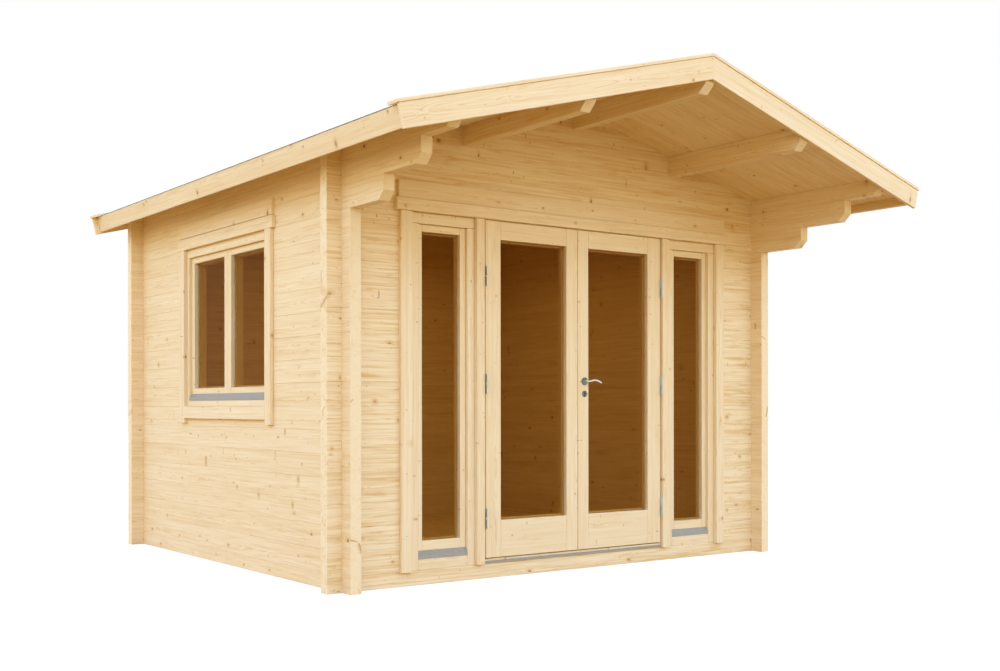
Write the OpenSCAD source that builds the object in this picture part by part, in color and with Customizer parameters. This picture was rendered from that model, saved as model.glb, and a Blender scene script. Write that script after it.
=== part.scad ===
// Garden chalet: a log cabin with crossed corners, a gable roof that reaches
// forward as a canopy, a glazed double door between two tall side lights, and
// one double window in the left wall.
// Millimetres. X runs along the front, Y to the back, Z up. The origin is on
// the ground at the middle of the floor plan.

/* [Log walls] */
// Width over the outer faces of the side walls
cabin_w = 3500; // [3450:10:3800]
// Depth over the outer faces of the front and back walls
cabin_d = 3000; // [2600:10:3600]
// Thickness of a wall log
log_t = 70; // [66:1:78]
// Height that each wall log adds
log_h = 137; // [136:1:140]
// Height of the lowest course
first_log_h = 86; // [80:1:92]
// How far the log ends stand out past the crossing wall
log_stub = 95; // [80:1:110]
// Depth of the groove between two logs
log_groove = 4; // [2:0.5:6]

/* [Corbels and purlins] */
// Reach of the lowest corbel in front of the front wall
corbel_low_reach = 435; // [350:5:500]
// Reach of the middle corbel in front of the front wall
corbel_mid_reach = 785; // [700:5:850]
// Chamfer under the front end of corbels and purlins
beam_chamfer = 50; // [30:1:60]
// Width of a purlin
purlin_w = 70; // [60:1:90]
// Height of the ridge purlin on its middle line
ridge_purlin_h = 140; // [120:1:200]
// Height of a side purlin on its middle line
side_purlin_h = 127; // [110:1:180]
// Distance of a side purlin from the middle of the roof
side_purlin_x = 872; // [700:5:1000]
// Space between a purlin's end and the barge board
purlin_end_gap = 5; // [2:1:10]

/* [Roof] */
// Roof pitch in degrees
roof_pitch = 14.5; // [13:0.5:17]
// Height of the eave log at the inner face of the wall
eave_log_h = 102; // [95:1:120]
// Reach of the roof boards in front of the front wall, at the eaves
porch_reach = 1050; // [950:5:1200]
// How much further they reach at the ridge
roof_prow = 75; // [0:5:120]
// Reach of the roof boards behind the back wall
back_reach = 135; // [100:1:160]
// Reach of the roof boards past the side walls
eave_reach = 254; // [200:1:300]
// Thickness of the roof boards
roof_board_t = 20; // [16:1:28]
// Thickness of the insulation on the roof boards
insulation_t = 36; // [30:1:60]
// Thickness of the roofing felt
felt_t = 3; // [2:0.5:6]
// How far the felt stands out past the eave and gable boards
felt_lip = 3; // [1:0.5:4]
// Height of a barge board, square to the slope
barge_h = 125; // [110:1:150]
// Thickness of a barge board
barge_t = 20; // [16:1:28]
// How far a barge board runs on past the eave board
barge_past = 36; // [20:1:50]
// Height of an eave board, square to the slope
fascia_h = 113; // [100:1:135]
// Thickness of an eave board
fascia_t = 20; // [16:1:28]
// Width of a cap board on the gable edge
cap_w = 90; // [80:1:120]
// Thickness of a cap board
cap_t = 15; // [12:1:22]
// How far a cap board stands out past the face of the barge board
cap_proud = 5; // [4:1:12]
// How far a cap board runs on past the end of the barge board
cap_past = 8; // [0:1:20]
// Open joint between the two boards that meet at the ridge
mitre_gap = 0.6; // [0.4:0.1:1]
// Space between pieces that lie on each other along the slope
slope_gap = 0.2; // [0.1:0.05:0.3]

/* [Floor] */
// Thickness of the floor boards
floor_board_t = 20; // [16:1:28]
// Height of a floor joist
joist_h = 68; // [50:1:80]
// Width of a floor joist
joist_w = 60; // [45:1:80]
// Number of floor joists
joist_count = 7; // [5:2:9]
// Space between the floor and the walls
floor_gap = 0.5; // [0.3:0.1:0.8]

/* [Front frame] */
// Clear width between the posts for both door leaves
door_w = 1498; // [1400:2:1540]
// Width of a post between door and side light
post_w = 121; // [110:1:130]
// Width of the opening of a side light
light_w = 360; // [320:2:372]
// Width of the outer upright of the frame
jamb_w = 60; // [50:1:66]
// Height of the frame head over the doors
head_t = 30; // [24:1:60]
// How far the frame head hangs lower over the side lights
light_head_drop = 64; // [50:1:80]
// Height of the door sill
door_sill_h = 32; // [25:1:40]
// Height of the sill of a side light
light_sill_h = 64; // [50:1:80]
// How far the stop covers the edge of a closed leaf
stop_lap = 8; // [6:1:12]

/* [Doors] */
// Height of a door leaf
leaf_h = 2048; // [2000:1:2060]
// Thickness of a door leaf
leaf_t = 56; // [48:1:58]
// How far a closed leaf stands in front of the wall face
leaf_proud = 14; // [10:1:18]
// Gap between a leaf and the post
leaf_side_gap = 6; // [5:0.5:8]
// Gap over and under a leaf, and behind it
leaf_gap = 5; // [5:0.5:7]
// Gap between the two leaves at their front
meeting_gap = 6; // [5.6:0.2:8]
// How much the meeting edge of a leaf falls back over its thickness
meeting_bevel = 4; // [4:0.5:6]
// Width of the stile on the hinge side
hinge_stile_w = 117; // [100:1:130]
// Width of the stile on the meeting side
meeting_stile_w = 91; // [88:1:110]
// Height of the top rail
top_rail_h = 113; // [90:1:130]
// Height of the bottom rail
bottom_rail_h = 226; // [180:1:260]

/* [Glass and sashes] */
// Thickness of a double pane
pane_t = 14; // [10:1:20]
// How deep a pane sits in its rebate
pane_seat = 8; // [6:1:12]
// Set-back of a fixed sash behind the frame
sash_recess = 20; // [14:1:24]
// Thickness of a fixed sash
sash_t = 44; // [42:1:46]
// Set-back of the glass behind the face of a sash
glass_recess = 22; // [18:1:24]
// Width of the stiles of a side light
light_stile_w = 42; // [35:1:50]
// Height of the top rail of a side light
light_top_rail_h = 44; // [35:1:55]
// Height of the bottom rail of a side light
light_bottom_rail_h = 105; // [90:1:120]
// Height of a drip flashing
flashing_h = 48; // [35:1:60]
// Height of the front lip of a drip flashing
flashing_lip_h = 22; // [15:1:30]

/* [Left window] */
// Width of the window frame
window_w = 1222; // [1000:2:1400]
// Course on which the window frame stands
window_courses = 7; // [5:1:9]
// Width of the uprights of the window frame
window_jamb_w = 32; // [25:1:45]
// Height of the head of the window frame
window_head_h = 58; // [45:1:70]
// Height of the sill of the window frame
window_sill_h = 39; // [30:1:50]
// Width of the stiles of a window sash
window_stile_w = 50; // [40:1:60]
// Height of the top rail of a window sash
window_top_rail_h = 42; // [35:1:60]
// Height of the bottom rail of a window sash
window_bottom_rail_h = 86; // [70:1:100]
// Gap between the two window sashes
window_meeting_gap = 2; // [1:0.5:4]

/* [Casings] */
// Width of a casing board
casing_w = 80; // [70:1:95]
// Thickness of a casing board
casing_t = 26; // [20:1:30]
// How far a casing laps over the edge of the front frame
casing_lap = 5; // [2:1:15]
// How far the front casings hang below the frame
casing_drop = 6; // [0:1:15]
// Width of the casing on a post
post_casing_w = 68; // [55:1:80]
// Thickness of a head casing
head_casing_t = 34; // [30:1:40]
// Thickness of a head board
head_board_t = 22; // [18:1:28]
// Height of the head casing over the doors
front_head_casing_h = 73; // [60:1:90]
// Height of the head board over the doors
front_head_board_h = 106; // [90:1:120]
// How far the front head casing runs past the casings
front_head_casing_past = 32; // [20:1:45]
// How far the front head board runs past the casings
front_head_board_past = 12; // [4:1:18]
// Height of the head casing over the window
window_head_casing_h = 81; // [60:1:90]
// Height of the head board over the window
window_head_board_h = 103; // [80:1:120]
// How far the window head casing runs past the casings
window_head_casing_past = 24; // [16:1:36]
// How far the window head board runs past the casings
window_head_board_past = 12; // [2:1:14]
// Height of the apron board under the window
apron_h = 85; // [70:1:100]
// How far the window casings hang below the apron
casing_horn = 32; // [15:1:45]

/* [Ironmongery] */
// Height of a hinge
hinge_h = 130; // [100:2:150]
// Radius of a hinge barrel
hinge_r = 8; // [7:0.5:9]
// Radius of a hinge pin
hinge_pin_r = 4; // [3:0.5:5]
// Running clearance round pins and handle necks
running_gap = 0.05; // [0.03:0.01:0.08]
// Space between the two halves of a hinge
hinge_joint_gap = 0.5; // [0.3:0.1:1]
// Space between a hinge barrel and the casing behind it
hinge_stand_off = 2; // [1:0.5:4]
// Thickness of a hinge plate
hinge_plate_t = 4; // [3:0.5:5]
// Width of a hinge plate
hinge_plate_w = 30; // [20:1:40]
// Middle of the low hinge over the bottom of the leaf
hinge_low = 245; // [180:5:400]
// Middle of the centre hinge over the bottom of the leaf
hinge_mid = 1059; // [900:5:1200]
// Middle of the high hinge over the bottom of the leaf
hinge_high = 1712; // [1600:5:1850]
// Height of the door handle over the bottom of the leaf
handle_up = 1080; // [950:5:1150]
// Distance of the door handle from the middle of the doors
handle_in = 58; // [52:1:62]
// Radius of a handle rose
rose_r = 25; // [22:1:27]
// Thickness of a handle rose
rose_t = 8; // [6:1:10]
// Radius of the neck of a handle
neck_r = 9; // [8:0.5:10]
// How far the middle of the lever stands out from the rose
lever_out = 38; // [34:1:45]
// Length of the lever from its axis
lever_len = 128; // [110:1:140]
// Thickness of the lever
lever_t = 13; // [10:1:15]
// Rise of the arch of the lever
lever_arch = 12; // [4:1:18]
// Width across the square spindle
spindle_w = 8; // [7:0.5:9]
// Space round the spindle in the leaf
spindle_gap = 5.4; // [5:0.1:7]
// How far the keyhole plate lies below the handle
keyhole_drop = 81; // [70:1:95]
// Radius of the keyhole plate
keyhole_r = 21; // [18:1:24]
// Thickness of the keyhole plate
keyhole_t = 5; // [3:0.5:7]

/* [Threshold] */
// Height of the threshold strip
threshold_h = 12; // [8:1:16]
// How far the threshold strip stands out
threshold_out = 12; // [8:1:20]
// Height of the threshold strip over the first log
threshold_up = 7; // [2:1:12]

/* [Hidden] */
$fn = 48;

pine = "burlywood";
pine_pale = "wheat";
pine_deep = "peru";
steel = "silver";

// More than any piece is thick, for cuts that run right through
cut_over = 400;

// Floor plan
y_front = -cabin_d / 2;
y_back = cabin_d / 2;
y_inner_front = y_front + log_t;
y_inner_back = y_back - log_t;
x_wall = cabin_w / 2;
x_inner = x_wall - log_t;

// Front frame
x_door = door_w / 2;
x_light = x_door + post_w;
x_light_end = x_light + light_w;
x_frame = x_light_end + jamb_w;
z_frame = first_log_h;
z_sill = z_frame + door_sill_h;
z_leaf = z_sill + leaf_gap;
z_leaf_top = z_leaf + leaf_h;
z_head = z_leaf_top + leaf_gap;
z_frame_top = z_head + head_t;
z_light_sill = z_frame + light_sill_h;
z_light_head = z_head - light_head_drop;

// Courses: the gables and the corbels start on the joint below the top of
// the front frame
function course_z(k) = first_log_h + k * log_h;
wall_courses = floor((z_frame_top - first_log_h) / log_h);
z_corbel_low = course_z(wall_courses);
z_gable = z_corbel_low;
z_corbel_mid = course_z(wall_courses + 1);
z_eave = course_z(wall_courses + 2);

// Roof: the soffit is the underside of the roof boards
soffit_apex = z_eave + eave_log_h + x_inner * tan(roof_pitch);
roof_y1 = y_back + back_reach;
x_eave = x_wall + eave_reach;
u_eave = x_eave / cos(roof_pitch);
w_low = slope_gap;
w_boards = w_low + roof_board_t;
w_top = w_boards + slope_gap + insulation_t;
w_felt = w_top + slope_gap + felt_t;
w_cap = w_felt + slope_gap;
u_fascia = u_eave + slope_gap;
function soffit_z(x) = soffit_apex - abs(x) * tan(roof_pitch);
// Front edge of the roof boards; it runs forward to the ridge
function roof_front(x) = y_front - porch_reach - roof_prow * (1 - abs(x) / x_eave);
roof_y0 = roof_front(0);
// Face of the front barge board, in front of that edge
barge_face = slope_gap + barge_t;
// A point of the right slope: u runs down the slope, w stands square to it
function slope_point(u, w) = [
    u * cos(roof_pitch) + w * sin(roof_pitch),
    soffit_apex - u * sin(roof_pitch) + w * cos(roof_pitch)
];

// Door leaves
y_leaf = y_front - leaf_proud;
y_leaf_back = y_leaf + leaf_t;
y_stop = y_leaf_back + leaf_gap;
x_leaf = x_door - leaf_side_gap;
x_glass_out = x_leaf - hinge_stile_w;
x_glass_in = meeting_gap / 2 + meeting_stile_w;
z_glass = z_leaf + bottom_rail_h;
z_glass_top = z_leaf_top - top_rail_h;
y_leaf_pane = y_leaf + (leaf_t - pane_t) / 2;

// Hinges: the axis stands in the gap, in front of the casing
x_hinge = x_door - leaf_side_gap / 2;
y_hinge = y_front - casing_t - hinge_stand_off - hinge_r;
hinge_heights = [z_leaf + hinge_low, z_leaf + hinge_mid, z_leaf + hinge_high];

// Handle
z_handle = z_leaf + handle_up;
z_keyhole = z_handle - keyhole_drop;
spindle_hole_r = spindle_w / sqrt(2) + spindle_gap;

// Left window, in the wall's own width and height
window_half = window_w / 2;
z_window = course_z(window_courses);
z_window_top = z_corbel_low;
z_sash = z_window + window_sill_h;
z_sash_top = z_window_top - window_head_h;
sash_edge = window_half - window_jamb_w;
sash_inner = window_meeting_gap / 2;

// ---------------------------------------------------------------- helpers

// A box from its low corner to its high corner
module block(low, high) {
    translate(low) cube(high - low);
}

// A flat shape, drawn in X and Z, carried from y0 to y1
module along_y(y0, y1) {
    translate([0, y1, 0]) rotate([90, 0, 0]) linear_extrude(y1 - y0) children();
}

// A flat shape, drawn in Y and Z, carried from x0 to x1
module along_x(x0, x1) {
    translate([x0, 0, 0]) rotate([90, 0, 90]) linear_extrude(x1 - x0) children();
}

module both_sides() {
    children();
    mirror([1, 0, 0]) children();
}

// The joints between logs that lie between two heights
function joints(z0, z1) = [
    for (k = [0 : wall_courses + 8])
        if (course_z(k) > z0 + log_groove && course_z(k) < z1 - log_groove) course_z(k)
];

// Section of a wall from z0 to z1, with a groove at each joint on both faces
module log_section(z0, z1) {
    g = log_groove;
    zs = joints(z0, z1);
    n = len(zs);
    outer = [for (z = zs, p = [[log_t, z - g], [log_t - g, z], [log_t, z + g]]) p];
    inner = [for (i = [n - 1 : -1 : 0], p = [[0, zs[i] + g], [g, zs[i]], [0, zs[i] - g]]) p];
    polygon(concat(
        [[g, z0], [log_t - g, z0], [log_t, z0 + g]], outer,
        [[log_t, z1 - g], [log_t - g, z1], [g, z1], [0, z1 - g]], inner,
        [[0, z0 + g]]
    ));
}

// Logs that lie along Y, with their outer or left face at x
module logs_along_y(x, y0, y1, z0, z1) {
    along_y(y0, y1) translate([x, 0]) log_section(z0, z1);
}

// Logs that lie along X, with their front face at y
module logs_along_x(y, x0, x1, z0, z1) {
    along_x(x0, x1) translate([y, 0]) log_section(z0, z1);
}

// Everything under the roof boards
module under_soffit() {
    reach = x_wall + cut_over;
    along_y(roof_y0 - cut_over, roof_y1 + cut_over)
        polygon([
            [-reach, -cut_over], [reach, -cut_over], [reach, soffit_z(reach)],
            [0, soffit_apex], [-reach, soffit_z(reach)]
        ]);
}

// The log end that stands out past the right side wall
module log_end(y, z0, z1) {
    logs_along_x(y, x_wall, x_wall + log_stub, z0, z1);
}

// Outline of a purlin on its middle line x, drawn in X and Z
module purlin_outline(x, h) {
    low = soffit_z(x) - h;
    x0 = x - purlin_w / 2;
    x1 = x + purlin_w / 2;
    middle = x == 0 ? [[0, soffit_apex]] : [];
    polygon(concat([[x0, low], [x1, low], [x1, soffit_z(x1)]], middle, [[x0, soffit_z(x0)]]));
}

module purlin(x, h) {
    low = soffit_z(x) - h;
    y0 = roof_front(abs(x) + purlin_w / 2) + purlin_end_gap;
    c = beam_chamfer;
    difference() {
        along_y(y0, roof_y1 - purlin_end_gap) purlin_outline(x, h);
        along_x(x - purlin_w, x + purlin_w) polygon([
            [y0 - c, low - c], [y0 + c + c, low - c], [y0 - c, low + c + c]
        ]);
    }
}

// Room for the three purlins in a gable wall
module purlin_notches(y0, y1) {
    along_y(y0, y1) {
        purlin_outline(0, ridge_purlin_h);
        purlin_outline(side_purlin_x, side_purlin_h);
        purlin_outline(-side_purlin_x, side_purlin_h);
    }
}

// Band of the right slope, from w0 to w1 above the soffit, down to u1
module slope_band(w0, w1, u1, gap = 0) {
    x = gap / 2;
    rise = 1 / cos(roof_pitch);
    polygon([
        [x, soffit_z(x) + w0 * rise], [x, soffit_z(x) + w1 * rise],
        slope_point(u1, w1), slope_point(u1, w0)
    ]);
}

// Everything right of the middle and behind the roof's front edge, moved
// forward by out, to the depth y1
module front_strip(out, y1) {
    reach = x_eave + cut_over;
    linear_extrude(soffit_apex + cut_over) polygon([
        [0, roof_front(0) - out], [reach, roof_front(reach) - out], [reach, y1], [0, y1]
    ]);
}

// A layer of the right slope over the whole roof
module roof_layer(w0, w1, u1) {
    intersection() {
        along_y(roof_y0, roof_y1) slope_band(w0, w1, u1);
        front_strip(0, roof_y1 + cut_over);
    }
}

// A board of the right slope along the roof's front edge, with its face
// moved forward by out and its back t behind that
module along_front_edge(out, t) {
    reach = x_eave + cut_over;
    intersection() {
        along_y(roof_y0 - out - 1, roof_front(reach) - out + t + 1) children();
        linear_extrude(soffit_apex + cut_over) polygon([
            [0, roof_front(0) - out], [reach, roof_front(reach) - out],
            [reach, roof_front(reach) - out + t], [0, roof_front(0) - out + t]
        ]);
    }
}

// A frame in X and Z: an outer box with an opening
module frame_outline(x0, x1, z0, z1, left, right, bottom, top) {
    difference() {
        translate([x0, z0]) square([x1 - x0, z1 - z0]);
        translate([x0 + left, z0 + bottom]) square([x1 - x0 - left - right, z1 - z0 - bottom - top]);
    }
}

// ------------------------------------------------------------- side walls

// The two corbels and the eave log step forward under the canopy
module side_wall_top(x) {
    y_low = y_front - corbel_low_reach;
    y_mid = y_front - corbel_mid_reach;
    y_end = roof_front(x_wall) + purlin_end_gap;
    c = beam_chamfer;
    z_over = soffit_apex;
    intersection() {
        difference() {
            logs_along_y(x, y_end, y_back + log_stub, z_corbel_low, z_over);
            along_x(x - c, x + log_t + c) polygon([
                [y_end - c, z_corbel_low - c], [y_low + c, z_corbel_low - c], [y_low + c, z_corbel_low],
                [y_low, z_corbel_low + c], [y_low, z_corbel_mid], [y_mid + c, z_corbel_mid],
                [y_mid, z_corbel_mid + c], [y_mid, z_eave], [y_end + c, z_eave],
                [y_end - c, z_eave + c + c]
            ]);
        }
        under_soffit();
    }
}

module wall_left_below() {
    color(pine) logs_along_y(-x_wall, y_front - log_stub, y_back + log_stub, 0, z_window);
}

module wall_left_front() {
    color(pine) logs_along_y(-x_wall, y_front - log_stub, -window_half, z_window, z_corbel_low);
}

module wall_left_back() {
    color(pine) logs_along_y(-x_wall, window_half, y_back + log_stub, z_window, z_corbel_low);
}

module wall_left_above() {
    color(pine) side_wall_top(-x_wall);
}

module wall_right_lower() {
    color(pine) logs_along_y(x_inner, y_front - log_stub, y_back + log_stub, 0, z_corbel_low);
}

module wall_right_upper() {
    color(pine) side_wall_top(x_inner);
}

// --------------------------------------------------- front and back walls

module front_sill_log() {
    color(pine) {
        logs_along_x(y_front, -x_inner, x_inner, 0, z_frame);
        both_sides() log_end(y_front, 0, z_frame);
    }
}

// The logs beside the frame, on the right
module front_wall_side() {
    logs_along_x(y_front, x_frame, x_inner, z_frame, z_gable);
    log_end(y_front, z_frame, z_gable);
}

module front_wall_left() {
    color(pine) mirror([1, 0, 0]) front_wall_side();
}

module front_wall_right() {
    color(pine) front_wall_side();
}

module front_gable() {
    color(pine) intersection() {
        difference() {
            union() {
                logs_along_x(y_front, -x_inner, x_inner, z_gable, soffit_apex);
                both_sides() log_end(y_front, z_gable, soffit_apex);
            }
            purlin_notches(y_front - 1, y_inner_front + 1);
            block([-x_frame, y_front - 1, z_gable - 1], [x_frame, y_inner_front + 1, z_frame_top]);
        }
        under_soffit();
    }
}

module back_wall() {
    color(pine) intersection() {
        difference() {
            union() {
                logs_along_x(y_inner_back, -x_inner, x_inner, 0, soffit_apex);
                both_sides() log_end(y_inner_back, 0, soffit_apex);
            }
            purlin_notches(y_inner_back - 1, y_back + 1);
        }
        under_soffit();
    }
}

// ------------------------------------------------------------------ floor

module floor_joists() {
    x = x_inner - floor_gap;
    first = y_inner_front + floor_gap;
    pitch = (y_inner_back - floor_gap - joist_w - first) / (joist_count - 1);
    color(pine_deep) for (i = [0 : joist_count - 1]) {
        y = first + i * pitch;
        block([-x, y, 0], [x, y + joist_w, joist_h]);
    }
}

module floor_boards() {
    x = x_inner - floor_gap;
    color(pine_pale) block(
        [-x, y_inner_front + floor_gap, joist_h],
        [x, y_inner_back - floor_gap, joist_h + floor_board_t]
    );
}

// ------------------------------------------------------------------- roof

module purlins() {
    color(pine_deep) {
        purlin(0, ridge_purlin_h);
        purlin(side_purlin_x, side_purlin_h);
        purlin(-side_purlin_x, side_purlin_h);
    }
}

module roof_boards_right() {
    color(pine_pale) roof_layer(w_low, w_boards, u_eave);
}

module roof_boards_left() {
    mirror([1, 0, 0]) roof_boards_right();
}

module roof_insulation() {
    color("lightgray") both_sides() roof_layer(w_boards + slope_gap, w_top, u_eave);
}

module roof_felt() {
    color("dimgray") both_sides() intersection() {
        along_y(roof_y0 - cut_over, roof_y1 + barge_t + felt_lip)
            slope_band(w_top + slope_gap, w_felt, u_fascia + fascia_t + felt_lip);
        front_strip(barge_face + felt_lip, roof_y1 + cut_over);
    }
}

// Outline of a barge board of the right slope
module barge_outline() {
    slope_band(w_top - barge_h, w_top, u_fascia + fascia_t + barge_past, mitre_gap);
}

module barge_boards() {
    color(pine_pale) both_sides() {
        along_front_edge(barge_face, barge_t) barge_outline();
        along_y(roof_y1, roof_y1 + barge_t) barge_outline();
    }
}

// Outline of a cap board of the right slope
module cap_outline() {
    slope_band(w_cap, w_cap + cap_t, u_fascia + fascia_t + barge_past + cap_past, mitre_gap);
}

module cap_boards() {
    y1 = roof_y1 + barge_t + cap_proud;
    color(pine_pale) both_sides() {
        along_front_edge(barge_face + cap_proud, cap_w) cap_outline();
        along_y(y1 - cap_w, y1) cap_outline();
    }
}

module eave_boards() {
    low = w_top - fascia_h;
    color(pine_pale) both_sides() intersection() {
        along_y(roof_y0, roof_y1) polygon([
            slope_point(u_fascia, low), slope_point(u_fascia, w_top),
            slope_point(u_fascia + fascia_t, w_top), slope_point(u_fascia + fascia_t, low)
        ]);
        front_strip(0, roof_y1 + cut_over);
    }
}

// ------------------------------------------------------------ front frame

module front_frame_head() {
    color(pine) {
        along_y(y_front, y_inner_front) polygon([
            [-x_frame, z_frame_top], [-x_frame, z_light_head],
            [-x_door - post_casing_w, z_light_head], [-x_door - post_casing_w, z_head],
            [x_door + post_casing_w, z_head], [x_door + post_casing_w, z_light_head],
            [x_frame, z_light_head], [x_frame, z_frame_top]
        ]);
        block([-x_door, y_stop, z_leaf_top - stop_lap], [x_door, y_inner_front, z_frame_top]);
    }
}

// One post with the door stop, right of the doors
module frame_post() {
    split = x_door + post_casing_w;
    block([x_door, y_front, z_frame], [split, y_inner_front, z_head]);
    block([split, y_front, z_frame], [x_light, y_inner_front, z_light_head]);
    block([x_leaf - stop_lap, y_stop, z_sill], [x_door, y_inner_front, z_leaf_top - stop_lap]);
}

module front_frame_uprights() {
    color(pine) both_sides() {
        frame_post();
        block([x_light_end, y_front, z_frame], [x_frame, y_inner_front, z_light_head]);
    }
}

module front_frame_sills() {
    color(pine) {
        both_sides() block([x_light, y_front, z_frame], [x_light_end, y_inner_front, z_light_sill]);
        block([-x_door, y_front, z_frame], [x_door, y_inner_front, z_sill]);
    }
}

module door_threshold() {
    z = z_frame + threshold_up;
    color("gainsboro") block(
        [-x_door, y_front - threshold_out, z],
        [x_door, y_front, z + threshold_h]
    );
}

// ------------------------------------------------------------ side lights

module light_pane(grow) {
    y = y_front + sash_recess + glass_recess;
    block(
        [x_light + light_stile_w - grow, y, z_light_sill + light_bottom_rail_h - grow],
        [x_light_end - light_stile_w + grow, y + pane_t, z_light_head - light_top_rail_h + grow]
    );
}

module light_sashes() {
    y = y_front + sash_recess;
    color(pine_pale) both_sides() difference() {
        along_y(y, y + sash_t) frame_outline(
            x_light, x_light_end, z_light_sill, z_light_head,
            light_stile_w, light_stile_w, light_bottom_rail_h, light_top_rail_h
        );
        light_pane(pane_seat);
    }
}

module light_glass() {
    color("lightblue", 0.4) both_sides() light_pane(pane_seat);
}

// Section of a drip flashing: its back at 0, its sloping top falls outwards
module flashing_outline(depth) {
    polygon([[0, 0], [0, flashing_h], [-depth, flashing_lip_h], [-depth, 0]]);
}

module light_flashings() {
    color("gainsboro") both_sides() along_x(x_light, x_light_end)
        translate([y_front + sash_recess, z_light_sill]) flashing_outline(sash_recess);
}

// ---------------------------------------------------------------- casings

module front_casings() {
    x0 = x_frame - casing_lap;
    y0 = y_front - casing_t;
    color(pine_pale) both_sides() {
        block([x0, y0, z_frame - casing_drop], [x0 + casing_w, y_front, z_head]);
        block([x_door, y0, z_frame], [x_door + post_casing_w, y_front, z_head]);
    }
}

module front_head_boards() {
    x = x_frame - casing_lap + casing_w;
    z_top = z_head + front_head_casing_h;
    color(pine_pale) {
        block(
            [-x - front_head_casing_past, y_front - head_casing_t, z_head],
            [x + front_head_casing_past, y_front, z_top]
        );
        block(
            [-x - front_head_board_past, y_front - head_board_t, z_top],
            [x + front_head_board_past, y_front, z_top + front_head_board_h]
        );
    }
}

// ------------------------------------------------------------ left window

// Turns a window drawn in X and Z, with its face at Y zero and its back
// behind it, onto the outer face of the left wall
module on_left_wall() {
    translate([-x_wall, 0, 0]) rotate([0, 0, -90]) children();
}

module window_frame() {
    color(pine) on_left_wall() along_y(0, log_t) frame_outline(
        -window_half, window_half, z_window, z_window_top,
        window_jamb_w, window_jamb_w, window_sill_h, window_head_h
    );
}

// The pane of one sash
module window_pane(grow) {
    y = sash_recess + glass_recess;
    block(
        [sash_inner + window_stile_w - grow, y, z_sash + window_bottom_rail_h - grow],
        [sash_edge - window_stile_w + grow, y + pane_t, z_sash_top - window_top_rail_h + grow]
    );
}

module window_sashes() {
    color(pine_pale) on_left_wall() both_sides() difference() {
        along_y(sash_recess, sash_recess + sash_t) frame_outline(
            sash_inner, sash_edge, z_sash, z_sash_top,
            window_stile_w, window_stile_w, window_bottom_rail_h, window_top_rail_h
        );
        window_pane(pane_seat);
    }
}

module window_glass() {
    color("lightblue", 0.4) on_left_wall() both_sides() window_pane(pane_seat);
}

module window_flashing() {
    color("gainsboro") on_left_wall() along_x(-sash_edge, sash_edge)
        translate([sash_recess, z_sash]) flashing_outline(sash_recess);
}

module window_casings() {
    low = z_window - apron_h;
    color(pine_pale) on_left_wall() {
        both_sides() block(
            [window_half, -casing_t, low - casing_horn],
            [window_half + casing_w, 0, z_window_top]
        );
        block([-window_half, -casing_t, low], [window_half, 0, z_window]);
    }
}

module window_head_boards() {
    x = window_half + casing_w;
    z_top = z_window_top + window_head_casing_h;
    color(pine_pale) on_left_wall() {
        block(
            [-x - window_head_casing_past, -head_casing_t, z_window_top],
            [x + window_head_casing_past, 0, z_top]
        );
        block(
            [-x - window_head_board_past, -head_board_t, z_top],
            [x + window_head_board_past, 0, z_top + window_head_board_h]
        );
    }
}

// ------------------------------------------------------------------ doors

// The pane of the right leaf
module leaf_pane(grow) {
    block(
        [x_glass_in - grow, y_leaf_pane, z_glass - grow],
        [x_glass_out + grow, y_leaf_pane + pane_t, z_glass_top + grow]
    );
}

// The right leaf: its meeting edge falls back towards the room
module leaf() {
    x_meet = meeting_gap / 2;
    difference() {
        translate([0, 0, z_leaf]) linear_extrude(leaf_h) polygon([
            [x_meet, y_leaf], [x_leaf, y_leaf], [x_leaf, y_leaf_back], [x_meet + meeting_bevel, y_leaf_back]
        ]);
        block([x_glass_in, y_leaf - 1, z_glass], [x_glass_out, y_leaf_back + 1, z_glass_top]);
        leaf_pane(pane_seat);
    }
}

module door_leaf_right() {
    color(pine) difference() {
        leaf();
        translate([handle_in, y_leaf - 1, z_handle]) rotate([-90, 0, 0])
            cylinder(r = spindle_hole_r, h = leaf_t + 2);
    }
}

module door_leaf_left() {
    color(pine) mirror([1, 0, 0]) leaf();
}

module door_glass_right() {
    color("lightblue", 0.4) leaf_pane(pane_seat);
}

module door_glass_left() {
    mirror([1, 0, 0]) door_glass_right();
}

// ----------------------------------------------------------------- hinges

// The half on the right casing: barrel, pin and plate
module hinge_frame_half(z) {
    half = (hinge_h - hinge_joint_gap) / 2;
    low = z - hinge_h / 2;
    translate([x_hinge, y_hinge, low]) {
        cylinder(r = hinge_r, h = half);
        cylinder(r = hinge_pin_r, h = half + hinge_joint_gap + half * 0.8);
    }
    block(
        [x_hinge, y_front - casing_t - hinge_plate_t, low],
        [x_hinge + hinge_plate_w, y_front - casing_t, low + half]
    );
}

// The half on the right leaf: barrel and a plate bent back onto the leaf
module hinge_leaf_half(z) {
    half = (hinge_h - hinge_joint_gap) / 2;
    low = z + hinge_joint_gap / 2;
    difference() {
        union() {
            translate([x_hinge, y_hinge, low]) cylinder(r = hinge_r, h = half);
            block([x_leaf - hinge_plate_t, y_hinge, low], [x_leaf, y_leaf, low + half]);
            block([x_leaf - hinge_plate_w, y_leaf - hinge_plate_t, low], [x_leaf, y_leaf, low + half]);
        }
        translate([x_hinge, y_hinge, low - 1])
            cylinder(r = hinge_pin_r + running_gap, h = half * 0.85 + 1);
    }
}

module hinge_frame_halves() {
    color(steel) both_sides() for (z = hinge_heights) hinge_frame_half(z);
}

module hinge_leaf_halves_right() {
    color(steel) for (z = hinge_heights) hinge_leaf_half(z);
}

module hinge_leaf_halves_left() {
    mirror([1, 0, 0]) hinge_leaf_halves_right();
}

// ----------------------------------------------------------------- handle

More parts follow.
